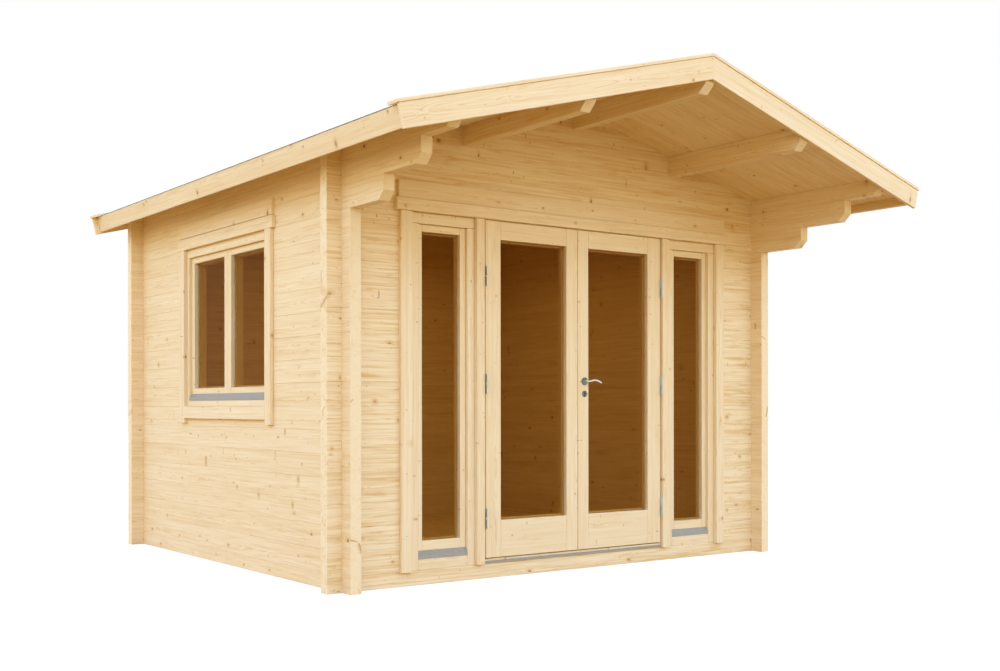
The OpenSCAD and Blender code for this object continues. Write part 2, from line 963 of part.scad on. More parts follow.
// Sets a disc on the outside and on the inside of the right leaf
module on_both_faces(z) {
    translate([handle_in, y_leaf, z]) rotate([90, 0, 0]) children();
    translate([handle_in, y_leaf_back, z]) rotate([-90, 0, 0]) children();
}

module door_roses() {
    color(steel) {
        on_both_faces(z_handle) difference() {
            cylinder(r = rose_r, h = rose_t);
            translate([0, 0, -1]) cylinder(r = neck_r + running_gap, h = rose_t + 2);
        }
        on_both_faces(z_keyhole) cylinder(r = keyhole_r, h = keyhole_t);
    }
}

// The arched bar of one lever, as an outline in X and Z
module lever_outline() {
    span = lever_len;
    steps = 8;
    up = [for (i = [0 : steps]) let (t = i / steps) [t * span, lever_arch * sin(180 * t) + lever_t / 2]];
    down = [for (i = [steps : -1 : 0]) let (t = i / steps) [t * span, lever_arch * sin(180 * t) - lever_t / 2]];
    polygon(concat(up, down));
}

// One lever with its neck, outwards along -Y from the face of the leaf at y
module lever() {
    neck = rose_t + lever_out + lever_t / 2;
    rotate([90, 0, 0]) cylinder(r = neck_r, h = neck);
    along_y(-neck, lever_t - neck) lever_outline();
}

module door_handle() {
    half = spindle_w / 2;
    color(steel) translate([handle_in, 0, z_handle]) {
        translate([0, y_leaf, 0]) lever();
        translate([0, y_leaf_back, 0]) mirror([0, 1, 0]) lever();
        block([-half, y_leaf, -half], [half, y_leaf_back, half]);
    }
}

wall_left_below();
wall_left_front();
wall_left_back();
wall_left_above();
wall_right_lower();
wall_right_upper();
front_sill_log();
front_wall_left();
front_wall_right();
front_gable();
back_wall();
floor_joists();
floor_boards();
purlins();
roof_boards_left();
roof_boards_right();
roof_insulation();
roof_felt();
barge_boards();
cap_boards();
eave_boards();
front_frame_head();
front_frame_uprights();
front_frame_sills();
light_sashes();
light_glass();
light_flashings();
front_casings();
front_head_boards();
door_threshold();
window_frame();
window_sashes();
window_glass();
window_flashing();
window_casings();
window_head_boards();
door_leaf_left();
door_leaf_right();
door_glass_left();
door_glass_right();
hinge_frame_halves();
hinge_leaf_halves_left();
hinge_leaf_halves_right();
door_roses();
door_handle();
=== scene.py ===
"""Garden chalet of squared pine logs, dressed piece by piece over its frame.

Every piece is placed from the boxes of the frame's nodes, in metres: X runs
along the front, Y to the back and Z up.
"""

import logging
import math
import random
from dataclasses import dataclass
from enum import Enum
from typing import Callable, Iterable, Optional, Sequence

import bmesh
import bpy
from mathutils import Matrix, Vector


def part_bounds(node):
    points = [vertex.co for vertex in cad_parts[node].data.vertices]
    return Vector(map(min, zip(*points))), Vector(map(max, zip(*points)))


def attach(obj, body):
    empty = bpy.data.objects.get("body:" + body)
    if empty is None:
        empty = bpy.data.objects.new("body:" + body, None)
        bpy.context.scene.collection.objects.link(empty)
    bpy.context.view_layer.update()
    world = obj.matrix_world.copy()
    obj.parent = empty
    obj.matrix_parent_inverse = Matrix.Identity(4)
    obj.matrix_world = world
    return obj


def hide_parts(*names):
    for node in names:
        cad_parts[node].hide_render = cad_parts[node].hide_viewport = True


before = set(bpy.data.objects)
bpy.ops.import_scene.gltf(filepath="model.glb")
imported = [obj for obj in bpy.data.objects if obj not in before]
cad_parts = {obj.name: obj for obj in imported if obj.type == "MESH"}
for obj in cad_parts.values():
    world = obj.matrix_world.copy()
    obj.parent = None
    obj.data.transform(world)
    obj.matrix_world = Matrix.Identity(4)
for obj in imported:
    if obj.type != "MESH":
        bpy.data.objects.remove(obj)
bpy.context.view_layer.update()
LOG = logging.getLogger("chalet")

CHALET = "chalet"
HALVES = {"left": -1, "right": 1}

# A joint line or a node's edge counts as the same place within this distance
TOUCH = 0.0005

# How far the heart of the tree lies off the middle of trim, boards and logs
TRIM_HEART = (0.03, 0.07)
BOARD_HEART = (0.03, 0.09)
LOG_HEART = (0.01, 0.045)

# Half the width of a seam between two pieces of trim
SEAM = 0.0006

# Easing on the edges of planed stock, from the thickest to the thinnest
HEAVY_EASE = 0.003
BOARD_EASE = 0.0025
EASE = 0.002
THIN_EASE = 0.0015
STRIP_EASE = 0.0006

# Easing on metal bars and on sheets of glass and felt
METAL_EASE = 0.0004
SHEET_EASE = 0.0003

# What lies against glass keeps this far off it
FILM = 0.0004

# A face turned this far towards the grain shows end grain
END_FACING = 0.55

# An edge with this share of its length along an axis runs along it
STRAIGHT = 0.9

# Where along its tree a piece may have been sawn
TRUNK = (1.0, 40.0)

# Points closer than this are one point
WELD = 1e-6

# Flats round small and large turned forms
SMALL_FLATS = 20
LARGE_FLATS = 40

# Edges of turned forms flatter than this are shaded smooth, in degrees
SMOOTH = 40.0


class Along(Enum):
    """The axis that a piece of stock runs along."""

    X = 0
    Y = 1
    Z = 2


class Slot(Enum):
    """The record's material slots."""

    LOG = "pine_log"
    BOARD = "pine_board"
    TRIM = "pine_trim"
    JOINERY = "pine_joinery"
    INSULATION = "insulation"
    FELT = "felt"
    GLASS = "glass"
    ALUMINIUM = "aluminium"
    STEEL = "steel"


# ------------------------------------------------------------ node graphs


class Graph:
    """Adds shader nodes to a tree, with their values and links in one call."""

    ROWS = 6
    CELL = (180.0, -220.0)

    def __init__(self, tree: bpy.types.NodeTree) -> None:
        """Takes the tree that the nodes go into."""
        self.tree = tree
        self.count = 0

    def add(self, kind: str, inputs: Optional[dict] = None, **settings) -> bpy.types.Node:
        """Adds one node.

        Args:
            kind: The node's type, without its "ShaderNode" prefix.
            inputs: Socket name or number to a value or to a socket to link.
            **settings: Attributes of the node.

        Returns:
            The new node.
        """
        kind = kind if kind.startswith("Node") else "ShaderNode" + kind
        node = self.tree.nodes.new(kind)
        column, row = divmod(self.count, self.ROWS)
        node.location = (self.CELL[0] * column, self.CELL[1] * row)
        self.count += 1
        for name, value in settings.items():
            setattr(node, name, value)
        for key, value in (inputs or {}).items():
            self.feed(node.inputs[key], value)
        return node

    def feed(self, socket: bpy.types.NodeSocket, value: object) -> None:
        """Links a socket to another, or sets its value."""
        if isinstance(value, bpy.types.NodeSocket):
            self.tree.links.new(value, socket)
        elif socket.type == "RGBA" and len(value) == 3:
            socket.default_value = (*value, 1.0)
        else:
            socket.default_value = value

    def math(self, operation: str, *values: object, clamp: bool = False) -> bpy.types.NodeSocket:
        """Adds a Math node and returns its output."""
        node = self.add("Math", dict(enumerate(values)), operation=operation, use_clamp=clamp)
        return node.outputs[0]

    def times(self, first: object, second: object) -> bpy.types.NodeSocket:
        """Returns a product."""
        return self.math("MULTIPLY", first, second)

    def scaled(self, value: object, by: object, plus: object) -> bpy.types.NodeSocket:
        """Returns value times by, plus plus."""
        return self.math("MULTIPLY_ADD", value, by, plus)

    def vector(self, operation: str, *values: object) -> bpy.types.NodeSocket:
        """Adds a Vector Math node and returns its output."""
        node = self.add("VectorMath", dict(enumerate(values)), operation=operation)
        return node.outputs["Value" if operation == "LENGTH" else "Vector"]

    def step(self, value: object, start: object, end: object) -> bpy.types.NodeSocket:
        """Returns a smooth step of value: 0 at start, 1 at end."""
        inputs = {"Value": value, "From Min": start, "From Max": end}
        return self.add("MapRange", inputs, interpolation_type="SMOOTHSTEP").outputs["Result"]

    def noise(self, place: object, per_metre: tuple, detail: float = 2.0) -> bpy.types.NodeSocket:
        """Returns a noise from 0 to 1, with its own fineness along each axis."""
        fine = self.vector("MULTIPLY", place, per_metre)
        inputs = {"Vector": fine, "Scale": 1.0, "Detail": detail, "Roughness": 0.55}
        return self.add("TexNoise", inputs).outputs["Fac"]

    def mix(self, factor: object, first: object, second: object,
            how: str = "MIX") -> bpy.types.NodeSocket:
        """Returns two colours mixed by a factor."""
        node = self.add("Mix", {0: factor, 6: first, 7: second}, data_type="RGBA", blend_type=how)
        return node.outputs[2]


def new_group(name: str, inputs: dict) -> tuple:
    """Makes an empty node group that gives a colour, a roughness and a height.

    Args:
        name: The group's name.
        inputs: The names of its inputs, each with its type.

    Returns:
        The group, its Graph, the sockets of its inputs by name and its output
        node.
    """
    group = bpy.data.node_groups.new(name, "ShaderNodeTree")
    outputs = {"Color": "Color", "Roughness": "Float", "Height": "Float"}
    for way, sockets in (("INPUT", inputs), ("OUTPUT", outputs)):
        for label, kind in sockets.items():
            group.interface.new_socket(label, in_out=way, socket_type="NodeSocket" + kind)
    graph = Graph(group)
    return group, graph, graph.add("NodeGroupInput").outputs, graph.add("NodeGroupOutput")


# Radius of the largest pin knot, and of the smallest knots of both kinds
PIN_KNOT = 0.0038
LEAST_KNOT = 0.001
LEAST_PIN = 0.0006

# How far the grain parts round a knot, and how long a knot is to its width
KNOT_REACH = 0.03
KNOT_LENGTH = 1.25


def knot_field(graph: Graph, x: object, angle: object, radius: object, per_metre: float,
               round_trunk: float, largest: object, share: float) -> tuple:
    """Adds knots that run out from the heart of the tree.

    Args:
        graph: The graph that the nodes go into.
        x: Place along the grain.
        angle: Angle round the heart.
        radius: Distance from the heart.
        per_metre: Rows of knots in a metre.
        round_trunk: Knots per radian round the trunk.
        largest: Radius of the largest knot.
        share: The share of places that stay clear, from 0 to 1.

    Returns:
        Sockets for the distance from the nearest knot and for its radius.
    """
    row = graph.times(x, per_metre)
    turn = graph.times(angle, round_trunk)
    place = graph.add("CombineXYZ", {0: row, 1: turn}).outputs[0]
    cells = graph.add("TexVoronoi", {"Vector": place, "Scale": 1.0}, voronoi_dimensions="2D")
    centre = graph.add("SeparateXYZ", {0: cells.outputs["Position"]})
    along = graph.math("SUBTRACT", row, centre.outputs[0])
    along = graph.math("DIVIDE", along, per_metre * KNOT_LENGTH)
    across = graph.math("SUBTRACT", turn, centre.outputs[1])
    across = graph.times(graph.math("DIVIDE", across, round_trunk), radius)
    flat = graph.add("CombineXYZ", {0: along, 1: across}).outputs[0]
    away = graph.vector("LENGTH", flat)
    draw = graph.add("SeparateColor", {0: cells.outputs["Color"]}).outputs[0]
    size = graph.times(graph.math("SUBTRACT", draw, share), 1.0 / (1.0 - share))
    size = graph.times(graph.math("MAXIMUM", size, 0.0), largest)
    return away, size


def pine_grain_group() -> bpy.types.NodeTree:
    """Builds the grain of sawn pine: rings round a heart, fibre and knots.

    Returns:
        A group that turns a place in the piece's own grain, in metres, into a
        colour, a roughness and a height.
    """
    group, graph, take, result = new_group("pine grain", {
        "Place": "Vector", "Tone": "Float", "Early": "Color", "Late": "Color", "Knot": "Color",
        "Ring": "Float", "Knot Size": "Float", "Streaks": "Float"})
    place = take["Place"]
    # The rings wander slowly along the trunk
    slow = graph.vector("MULTIPLY", place, (1.1, 4.0, 4.0))
    wander = graph.add("TexNoise", {"Vector": slow, "Scale": 1.0, "Detail": 3.0}).outputs["Color"]
    wander = graph.vector("SUBTRACT", wander, (0.5, 0.5, 0.5))
    wander = graph.vector("MULTIPLY", wander, (0.0, 0.045, 0.045))
    bent = graph.add("SeparateXYZ", {0: graph.vector("ADD", place, wander)})
    x, y, z = bent.outputs[:3]
    radius = graph.vector("LENGTH", graph.add("CombineXYZ", {1: y, 2: z}).outputs[0])
    angle = graph.math("ARCTAN2", z, y)
    trunk = (graph, x, angle, radius)
    away, size = knot_field(*trunk, per_metre=2.3, round_trunk=0.8,
                            largest=take["Knot Size"], share=0.45)
    pin_away, pin_size = knot_field(*trunk, per_metre=5.5, round_trunk=1.9,
                                    largest=PIN_KNOT, share=0.55)
    # Grain parts round a knot
    near = graph.math("POWER", graph.math("DIVIDE", away, KNOT_REACH), 2.0)
    swell = graph.times(graph.math("EXPONENT", graph.times(near, -1.0)), size)
    pushed = graph.scaled(swell, 1.1, radius)
    jitter = graph.noise(place, (0.8, 22.0, 22.0))
    rings = graph.scaled(jitter, 1.4, graph.math("DIVIDE", pushed, take["Ring"]))
    part = graph.math("FRACT", rings)
    late = graph.times(graph.step(part, 0.35, 0.9), graph.step(part, 1.0, 0.93))
    year = graph.add("TexWhiteNoise", {"W": graph.math("FLOOR", rings)}, noise_dimensions="1D")
    late = graph.times(late, graph.scaled(year.outputs["Value"], 0.75, 0.25))
    # Fibre, wider streaks and warm resinous patches, all drawn out along the grain
    fibre = graph.noise(place, (2.6, 85.0, 85.0), 4.0)
    broad = graph.noise(place, (0.8, 21.0, 21.0), 3.0)
    resin = graph.noise(place, (4.5, 34.0, 34.0), 3.0)
    resin = graph.step(resin, 0.56, 0.74)
    streak = graph.scaled(graph.math("SUBTRACT", broad, 0.5), 1.5,
                          graph.times(graph.math("SUBTRACT", fibre, 0.5), 2.4))
    streak = graph.scaled(resin, 0.55, streak)
    shade = graph.scaled(streak, take["Streaks"], graph.times(late, 0.42))
    shade = graph.math("ADD", shade, 0.2)
    shade = graph.math("MULTIPLY_ADD", take["Tone"], 0.06, shade, clamp=True)
    wood = graph.mix(shade, take["Early"], take["Late"])
    # A warm halo stands round each knot, and a dark rim of bark inside it
    halo = graph.times(graph.step(away, graph.times(size, 2.8), size), 0.55)
    halo = graph.times(halo, graph.math("GREATER_THAN", size, LEAST_KNOT))
    wood = graph.mix(halo, wood, take["Late"])
    core = graph.step(away, size, graph.times(size, 0.6))
    core = graph.times(core, graph.math("GREATER_THAN", size, LEAST_KNOT))
    pin = graph.step(pin_away, pin_size, graph.times(pin_size, 0.5))
    pin = graph.times(pin, graph.math("GREATER_THAN", pin_size, LEAST_PIN))
    dead = graph.add("TexWhiteNoise", {"W": graph.times(size, 900.0)}, noise_dimensions="1D")
    dead = graph.step(dead.outputs["Value"], 0.6, 0.75)
    heart = graph.step(away, graph.times(size, 0.55), graph.times(size, 0.2))
    depth = graph.scaled(heart, 0.2, graph.scaled(dead, 0.35, 0.35))
    knots = graph.math("MAXIMUM", graph.times(core, depth), graph.times(pin, 0.75))
    wood = graph.mix(knots, wood, take["Knot"])
    height = graph.scaled(late, 0.35, graph.times(fibre, 0.5))
    height = graph.scaled(knots, -0.4, height)
    rough = graph.scaled(fibre, 0.16, 0.5)
    rough = graph.scaled(knots, -0.12, rough)
    graph.feed(result.inputs["Color"], wood)
    graph.feed(result.inputs["Roughness"], rough)
    graph.feed(result.inputs["Height"], height)
    return group


def fine_wear_group() -> bpy.types.NodeTree:
    """Builds the fine unevenness that metal, felt and foam share.

    Returns:
        A group that turns a place in metres into a tint, a roughness and a
        height.
    """
    group, graph, take, result = new_group("fine wear", {
        "Place": "Vector", "Base": "Color", "Worn": "Color", "Size": "Float", "Fine": "Float",
        "Low": "Float", "High": "Float"})
    inputs = {"Vector": take["Place"], "Scale": take["Size"], "Detail": 4.0}
    cloud = graph.add("TexNoise", inputs).outputs["Fac"]
    inputs = {"Vector": take["Place"], "Scale": take["Fine"], "Detail": 2.0}
    grit = graph.add("TexNoise", inputs).outputs["Fac"]
    both = graph.math("ADD", graph.times(cloud, 0.6), graph.times(grit, 0.4))
    share = graph.step(both, 0.35, 0.65)
    spread = graph.add("MapRange", {"Value": share, "To Min": take["Low"], "To Max": take["High"]})
    graph.feed(result.inputs["Color"], graph.mix(share, take["Base"], take["Worn"]))
    graph.feed(result.inputs["Roughness"], spread.outputs["Result"])
    graph.feed(result.inputs["Height"], both)
    return group


class Groups:
    """The shared node groups, built once each."""

    built: dict = {}

    @classmethod
    def get(cls, name: str, build: Callable[[], bpy.types.NodeTree]) -> bpy.types.NodeTree:
        """Returns a shared group, and builds it at the first call."""
        if name not in cls.built:
            cls.built[name] = build()
        return cls.built[name]


def put_on(shader: bpy.types.Node, look: bpy.types.Node, graph: Graph, strength: float,
           relief: float) -> None:
    """Puts the colour, roughness and relief of a shared group on a shader.

    Args:
        shader: The material's shader.
        look: The node of the shared group.
        graph: The material's graph.
        strength: How strongly the relief turns the light.
        relief: How high the relief stands.
    """
    bump = graph.add("Bump", {"Strength": strength, "Distance": relief,
                              "Height": look.outputs["Height"]})
    graph.feed(shader.inputs["Base Color"], look.outputs["Color"])
    graph.feed(shader.inputs["Roughness"], look.outputs["Roughness"])
    graph.feed(shader.inputs["Normal"], bump.outputs[0])


# --------------------------------------------------------------- finishes


@dataclass(frozen=True)
class Finish:
    """A finish of the chalet: its name and the slot that it belongs to."""

    name: str
    slot: Slot

    def paint(self, graph: Graph, shader: bpy.types.Node) -> None:
        """Sets up the shader; each finish has its own way."""
        raise NotImplementedError

    def material(self) -> bpy.types.Material:
        """Returns the finish as a material, built at the first call."""
        made = bpy.data.materials.get(self.name)
        if made is None:
            made = bpy.data.materials.new(self.name)
            made.use_nodes = True
            made.node_tree.nodes.clear()
            graph = Graph(made.node_tree)
            shader = graph.add("BsdfPrincipled")
            self.paint(graph, shader)
            graph.add("OutputMaterial", {"Surface": shader.outputs[0]})
        return made


@dataclass(frozen=True)
class Pine(Finish):
    """Planed pine without a coat, with its rings, fibre and knots."""

    early: tuple = (0.9, 0.74, 0.5)
    late: tuple = (0.74, 0.5, 0.22)
    knot: tuple = (0.36, 0.14, 0.03)
    ring: float = 0.0042
    knot_size: float = 0.011
    streaks: float = 0.42
    relief: float = 0.0007
    bump: float = 0.6
    specular: float = 0.3
    # How much paler sawn ends are painted: partly end grain, partly painted light
    end_grain_and_light: float = 5.0

    def paint(self, graph: Graph, shader: bpy.types.Node) -> None:
        """Feeds the grain group from the piece's own grain and tone."""
        place = graph.add("Attribute", attribute_name="grain").outputs["Vector"]
        tone = graph.add("Attribute", attribute_name="tone").outputs["Fac"]
        # Sawn ends are painted paler than the faces along the grain: partly the end grain's own
        # colour, partly painted light
        end = graph.add("Attribute", attribute_name="end").outputs["Fac"]
        tone = graph.scaled(end, -self.end_grain_and_light, tone)
        inputs = {"Place": place, "Tone": tone, "Early": self.early, "Late": self.late,
                  "Knot": self.knot, "Ring": self.ring, "Knot Size": self.knot_size,
                  "Streaks": self.streaks}
        grain = graph.add("Group", inputs, node_tree=Groups.get("pine grain", pine_grain_group))
        put_on(shader, grain, graph, self.bump, self.relief)
        shader.inputs["Specular IOR Level"].default_value = self.specular


@dataclass(frozen=True)
class Worn(Finish):
    """A finish with fine unevenness: metal, felt, foam or rubber."""

    base: tuple = (0.5, 0.5, 0.5)
    worn: tuple = (0.6, 0.6, 0.6)
    size: float = 60.0
    fine: float = 900.0
    low: float = 0.3
    high: float = 0.5
    metallic: float = 0.0
    relief: float = 0.0002
    bump: float = 0.5

    def paint(self, graph: Graph, shader: bpy.types.Node) -> None:
        """Feeds the wear group from the piece's place."""
        place = graph.add("TexCoord").outputs["Object"]
        inputs = {"Place": place, "Base": self.base, "Worn": self.worn, "Size": self.size,
                  "Fine": self.fine, "Low": self.low, "High": self.high}
        wear = graph.add("Group", inputs, node_tree=Groups.get("fine wear", fine_wear_group))
        put_on(shader, wear, graph, self.bump, self.relief)
        shader.inputs["Metallic"].default_value = self.metallic


@dataclass(frozen=True)
class Clear(Finish):
    """Clear float glass with a faint warm grey tint."""

    tint: tuple = (0.99, 0.97, 0.93)
    ior: float = 1.03

    def paint(self, graph: Graph, shader: bpy.types.Node) -> None:
        """Sets plain transmission on the shader."""
        graph.feed(shader.inputs["Base Color"], self.tint)
        shader.inputs["Roughness"].default_value = 0.0
        shader.inputs["IOR"].default_value = self.ior
        shader.inputs["Transmission Weight"].default_value = 1.0


LOG_PINE = Pine("planed log pine", Slot.LOG, knot_size=0.012, streaks=0.47)
FRONT_PINE = Pine("knotty log pine", Slot.LOG, knot_size=0.017, streaks=1.05)
BOARD_PINE = Pine("roof and floor board pine", Slot.BOARD, knot_size=0.013, ring=0.0038,
                  streaks=0.75)
BEAM_PINE = Pine("purlin and joist pine", Slot.LOG, knot_size=0.015, streaks=0.7)
TRIM_PINE = Pine("whitewood trim pine", Slot.TRIM, early=(0.91, 0.755, 0.525))
JOINERY_PINE = Pine("clear joinery pine", Slot.JOINERY, early=(0.905, 0.75, 0.515),
                    knot_size=0.005, streaks=0.36, ring=0.0034)
FELT = Worn("mineral felt", Slot.FELT, base=(0.04, 0.037, 0.032), worn=(0.095, 0.088, 0.076),
            size=45.0, fine=1400.0, low=0.8, high=0.95, relief=0.0006)
FOAM = Worn("white foam board", Slot.INSULATION, base=(0.72, 0.74, 0.74),
            worn=(0.82, 0.83, 0.83), size=160.0, fine=420.0, low=0.6, high=0.8)
ALUMINIUM = Worn("satin aluminium", Slot.ALUMINIUM, base=(0.335, 0.32, 0.28),
                 worn=(0.39, 0.374, 0.33), low=0.4, high=0.52, metallic=0.35, relief=0.00005)
SPACER = Worn("pale edge spacer", Slot.ALUMINIUM, base=(0.6, 0.66, 0.7),
              worn=(0.66, 0.71, 0.75), low=0.5, high=0.65, relief=0.00003)
STEEL = Worn("brushed steel", Slot.STEEL, base=(0.67, 0.68, 0.61), worn=(0.75, 0.76, 0.69),
             low=0.38, high=0.5, metallic=0.7, relief=0.00003)
DARK_STEEL = Worn("dark satin steel", Slot.STEEL, base=(0.13, 0.134, 0.118),
                  worn=(0.23, 0.236, 0.215), low=0.28, high=0.42, metallic=0.95, relief=0.00003)
# Painted shade: a near-black film stands in for the shade inside a keyhole
KEYHOLE_SHADE = Worn("painted keyhole shade", Slot.STEEL, base=(0.01, 0.01, 0.01),
              worn=(0.02, 0.02, 0.02), low=0.7, high=0.9)
GLASS = Clear("clear glass", Slot.GLASS)


# ---------------------------------------------------------- stock and cuts


@dataclass(frozen=True)
class Cut:
    """A flat saw cut: what lies on the side of the normal falls away."""

    point: Vector
    normal: Vector


@dataclass(frozen=True)
class Grain:
    """Where a piece was sawn from its tree, and how dark that tree was."""

    centre: Vector
    shift: Vector
    tone: float


class Stock:
    """Pieces of one kind gathered in one mesh; each keeps its own grain."""

    def __init__(self, seed: int, heart: tuple = (0.02, 0.06), seam: float = 0.0) -> None:
        """Starts an empty mesh.

        Args:
            seed: Seed for the grain of the pieces.
            heart: Least and greatest distance of the heart of the tree from
                the middle of a piece.
            seam: How far every box keeps back from its neighbours in X and Z.
        """
        self.draw = random.Random(seed)
        self.heart = heart
        self.seam = Vector((seam, 0.0, seam))
        self.mesh = bmesh.new()

    def grain(self, centre: Vector) -> Grain:
        """Draws the grain of a new piece whose middle is at centre."""
        away = self.draw.uniform(*self.heart)
        turn = self.draw.uniform(0.0, 2.0 * math.pi)
        along = self.draw.uniform(*TRUNK)
        shift = Vector((along, away * math.cos(turn), away * math.sin(turn)))
        return Grain(centre, shift, self.draw.uniform(-1.0, 1.0))

    def box(self, low: Sequence[float], high: Sequence[float], along: Along = Along.X,
            ease: float = THIN_EASE, arris: float = 0.0, cuts: Iterable[Cut] = (),
            place: Matrix = Matrix(), grain: Optional[Grain] = None) -> None:
        """Adds a straight piece with eased edges.

        Args:
            low: The lowest corner, before the piece is placed.
            high: The highest corner, before the piece is placed.
            along: The axis that the grain runs along.
            ease: Width of the easing on every edge.
            arris: Width of the flat arris on the long edges, none at 0.
            cuts: Saw cuts, in the chalet's frame.
            place: Where the piece goes.
            grain: The grain to take, if it carries on from another piece.
        """
        low, high = Vector(low) + self.seam, Vector(high) - self.seam
        piece = bmesh.new()
        bmesh.ops.create_cube(piece, size=1.0)
        bmesh.ops.scale(piece, vec=high - low, verts=piece.verts)
        bmesh.ops.translate(piece, vec=(low + high) / 2.0, verts=piece.verts)
        if arris > 0.0:
            edges = [e for e in piece.edges if self._runs(e, along)]
            bevel_edges(piece, edges, arris)
        if ease > 0.0:
            bevel_edges(piece, piece.edges[:], ease)
        bmesh.ops.transform(piece, matrix=place, verts=piece.verts)
        self.add(piece, cuts, along, place, grain or self.grain((low + high) / 2.0))

    @staticmethod
    def _runs(edge: bmesh.types.BMEdge, along: Along) -> bool:
        """Tells whether an edge runs along an axis."""
        step = edge.verts[1].co - edge.verts[0].co
        return abs(step[along.value]) > STRAIGHT * step.length

    def add(self, piece: bmesh.types.BMesh, cuts: Iterable[Cut] = (), along: Along = Along.X,
            place: Matrix = Matrix(), grain: Optional[Grain] = None) -> None:
        """Cuts a finished form, marks its grain and gathers it.

        Args:
            piece: The form, already in its place; it is freed here.
            cuts: Saw cuts, in the chalet's frame.
            along: The axis that the grain runs along, before placing.
            place: How the form was placed.
            grain: Its grain, drawn anew if none is given.
        """
        for cut in cuts:
            saw(piece, cut)
        if piece.verts:
            grain = grain or self.grain(middle(piece))
            self._mark(piece, along, place.inverted(), grain)
            gather(self.mesh, piece)
        piece.free()

    def _mark(self, piece: bmesh.types.BMesh, along: Along, back: Matrix, grain: Grain) -> None:
        """Writes each point's place in the grain, the tone and the sawn ends."""
        places = piece.verts.layers.float_vector.new("grain")
        tones = piece.verts.layers.float.new("tone")
        ends = piece.faces.layers.float.new("end")
        piece.normal_update()
        for face in piece.faces:
            facing = (back.to_3x3() @ face.normal)[along.value]
            face[ends] = 1.0 if abs(facing) > END_FACING else 0.0
        order = {Along.X: (0, 1, 2), Along.Y: (1, 0, 2), Along.Z: (2, 0, 1)}[along]
        for vert in piece.verts:
            own = back @ vert.co - grain.centre
            vert[places] = Vector([own[i] for i in order]) + grain.shift
            vert[tones] = grain.tone

    def stand(self, name: str, finish: Finish, body: str, nodes: Sequence[str] = (),
              smooth: float = 0.0) -> None:
        """Turns the gathered pieces into one object of the chalet.

        Args:
            name: The object's name.
            finish: Its finish.
            body: The body that it moves with.
            nodes: The frame's nodes that it stands for.
            smooth: Edges flatter than this angle are shaded smooth, in degrees.
        """
        mesh = bpy.data.meshes.new(name)
        self.mesh.to_mesh(mesh)
        self.mesh.free()
        if smooth > 0.0:
            mesh.shade_smooth()
            mesh.set_sharp_from_angle(angle=math.radians(smooth))
        piece = bpy.data.objects.new(name, mesh)
        bpy.context.scene.collection.objects.link(piece)
        mesh.materials.append(finish.material())
        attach(piece, body)
        if nodes:
            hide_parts(*nodes)
        LOG.info("%s: %d faces, %s", name, len(mesh.polygons), finish.name)


def bevel_edges(piece: bmesh.types.BMesh, edges: list, width: float) -> None:
    """Takes edges of a form off flat by a width."""
    bmesh.ops.bevel(piece, geom=edges, offset=width, offset_type="OFFSET", segments=1,
                    profile=0.5, affect="EDGES", clamp_overlap=True, material=-1)


def saw(piece: bmesh.types.BMesh, cut: Cut) -> None:
    """Cuts a form through and closes it."""
    everything = piece.verts[:] + piece.edges[:] + piece.faces[:]
    bmesh.ops.bisect_plane(piece, geom=everything, dist=WELD, plane_co=cut.point,
                           plane_no=cut.normal, clear_outer=True)
    rim = [e for e in piece.edges if e.is_boundary]
    if rim:
        bmesh.ops.holes_fill(piece, edges=rim, sides=0)


def gather(whole: bmesh.types.BMesh, piece: bmesh.types.BMesh) -> None:
    """Adds a form, with its attributes, to a larger one."""
    carrier = bpy.data.meshes.new("carrier")
    piece.to_mesh(carrier)
    whole.from_mesh(carrier)
    bpy.data.meshes.remove(carrier)


def chain(places: Sequence[tuple]) -> tuple:
    """Starts a form with points joined in a row.

    Args:
        places: Where the points go.

    Returns:
        The form, and its points and edges in one list.
    """
    form = bmesh.new()
    points = [form.verts.new(place) for place in places]
    return form, points + [form.edges.new(pair) for pair in zip(points, points[1:])]


def middle(piece: bmesh.types.BMesh) -> Vector:
    """Returns the mean of a form's points."""
    return sum((v.co for v in piece.verts), Vector()) / len(piece.verts)


def node_points(node: str, back: Matrix = Matrix()) -> list:
    """Returns a node's points, turned into the frame to measure in."""
    return [back @ v.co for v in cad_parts[node].data.vertices]


def part_box(node: str, keep: Callable[[Vector], bool] = lambda v: True,
             back: Matrix = Matrix()) -> tuple:
    """Measures part of a node.

    Args:
        node: The node's name.
        keep: Tells which of its points count.
        back: Turns points into the frame to measure in.

    Returns:
        The lowest and the highest corner.
    """
    points = [back @ v.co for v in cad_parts[node].data.vertices if keep(v.co)]
    low = Vector([min(p[i] for p in points) for i in range(3)])
    high = Vector([max(p[i] for p in points) for i in range(3)])
    return low, high


def right_half(point: Vector) -> bool:
    """Tells whether a point lies right of the middle."""
    return point.x > -TOUCH


# ------------------------------------------------------------------- roof


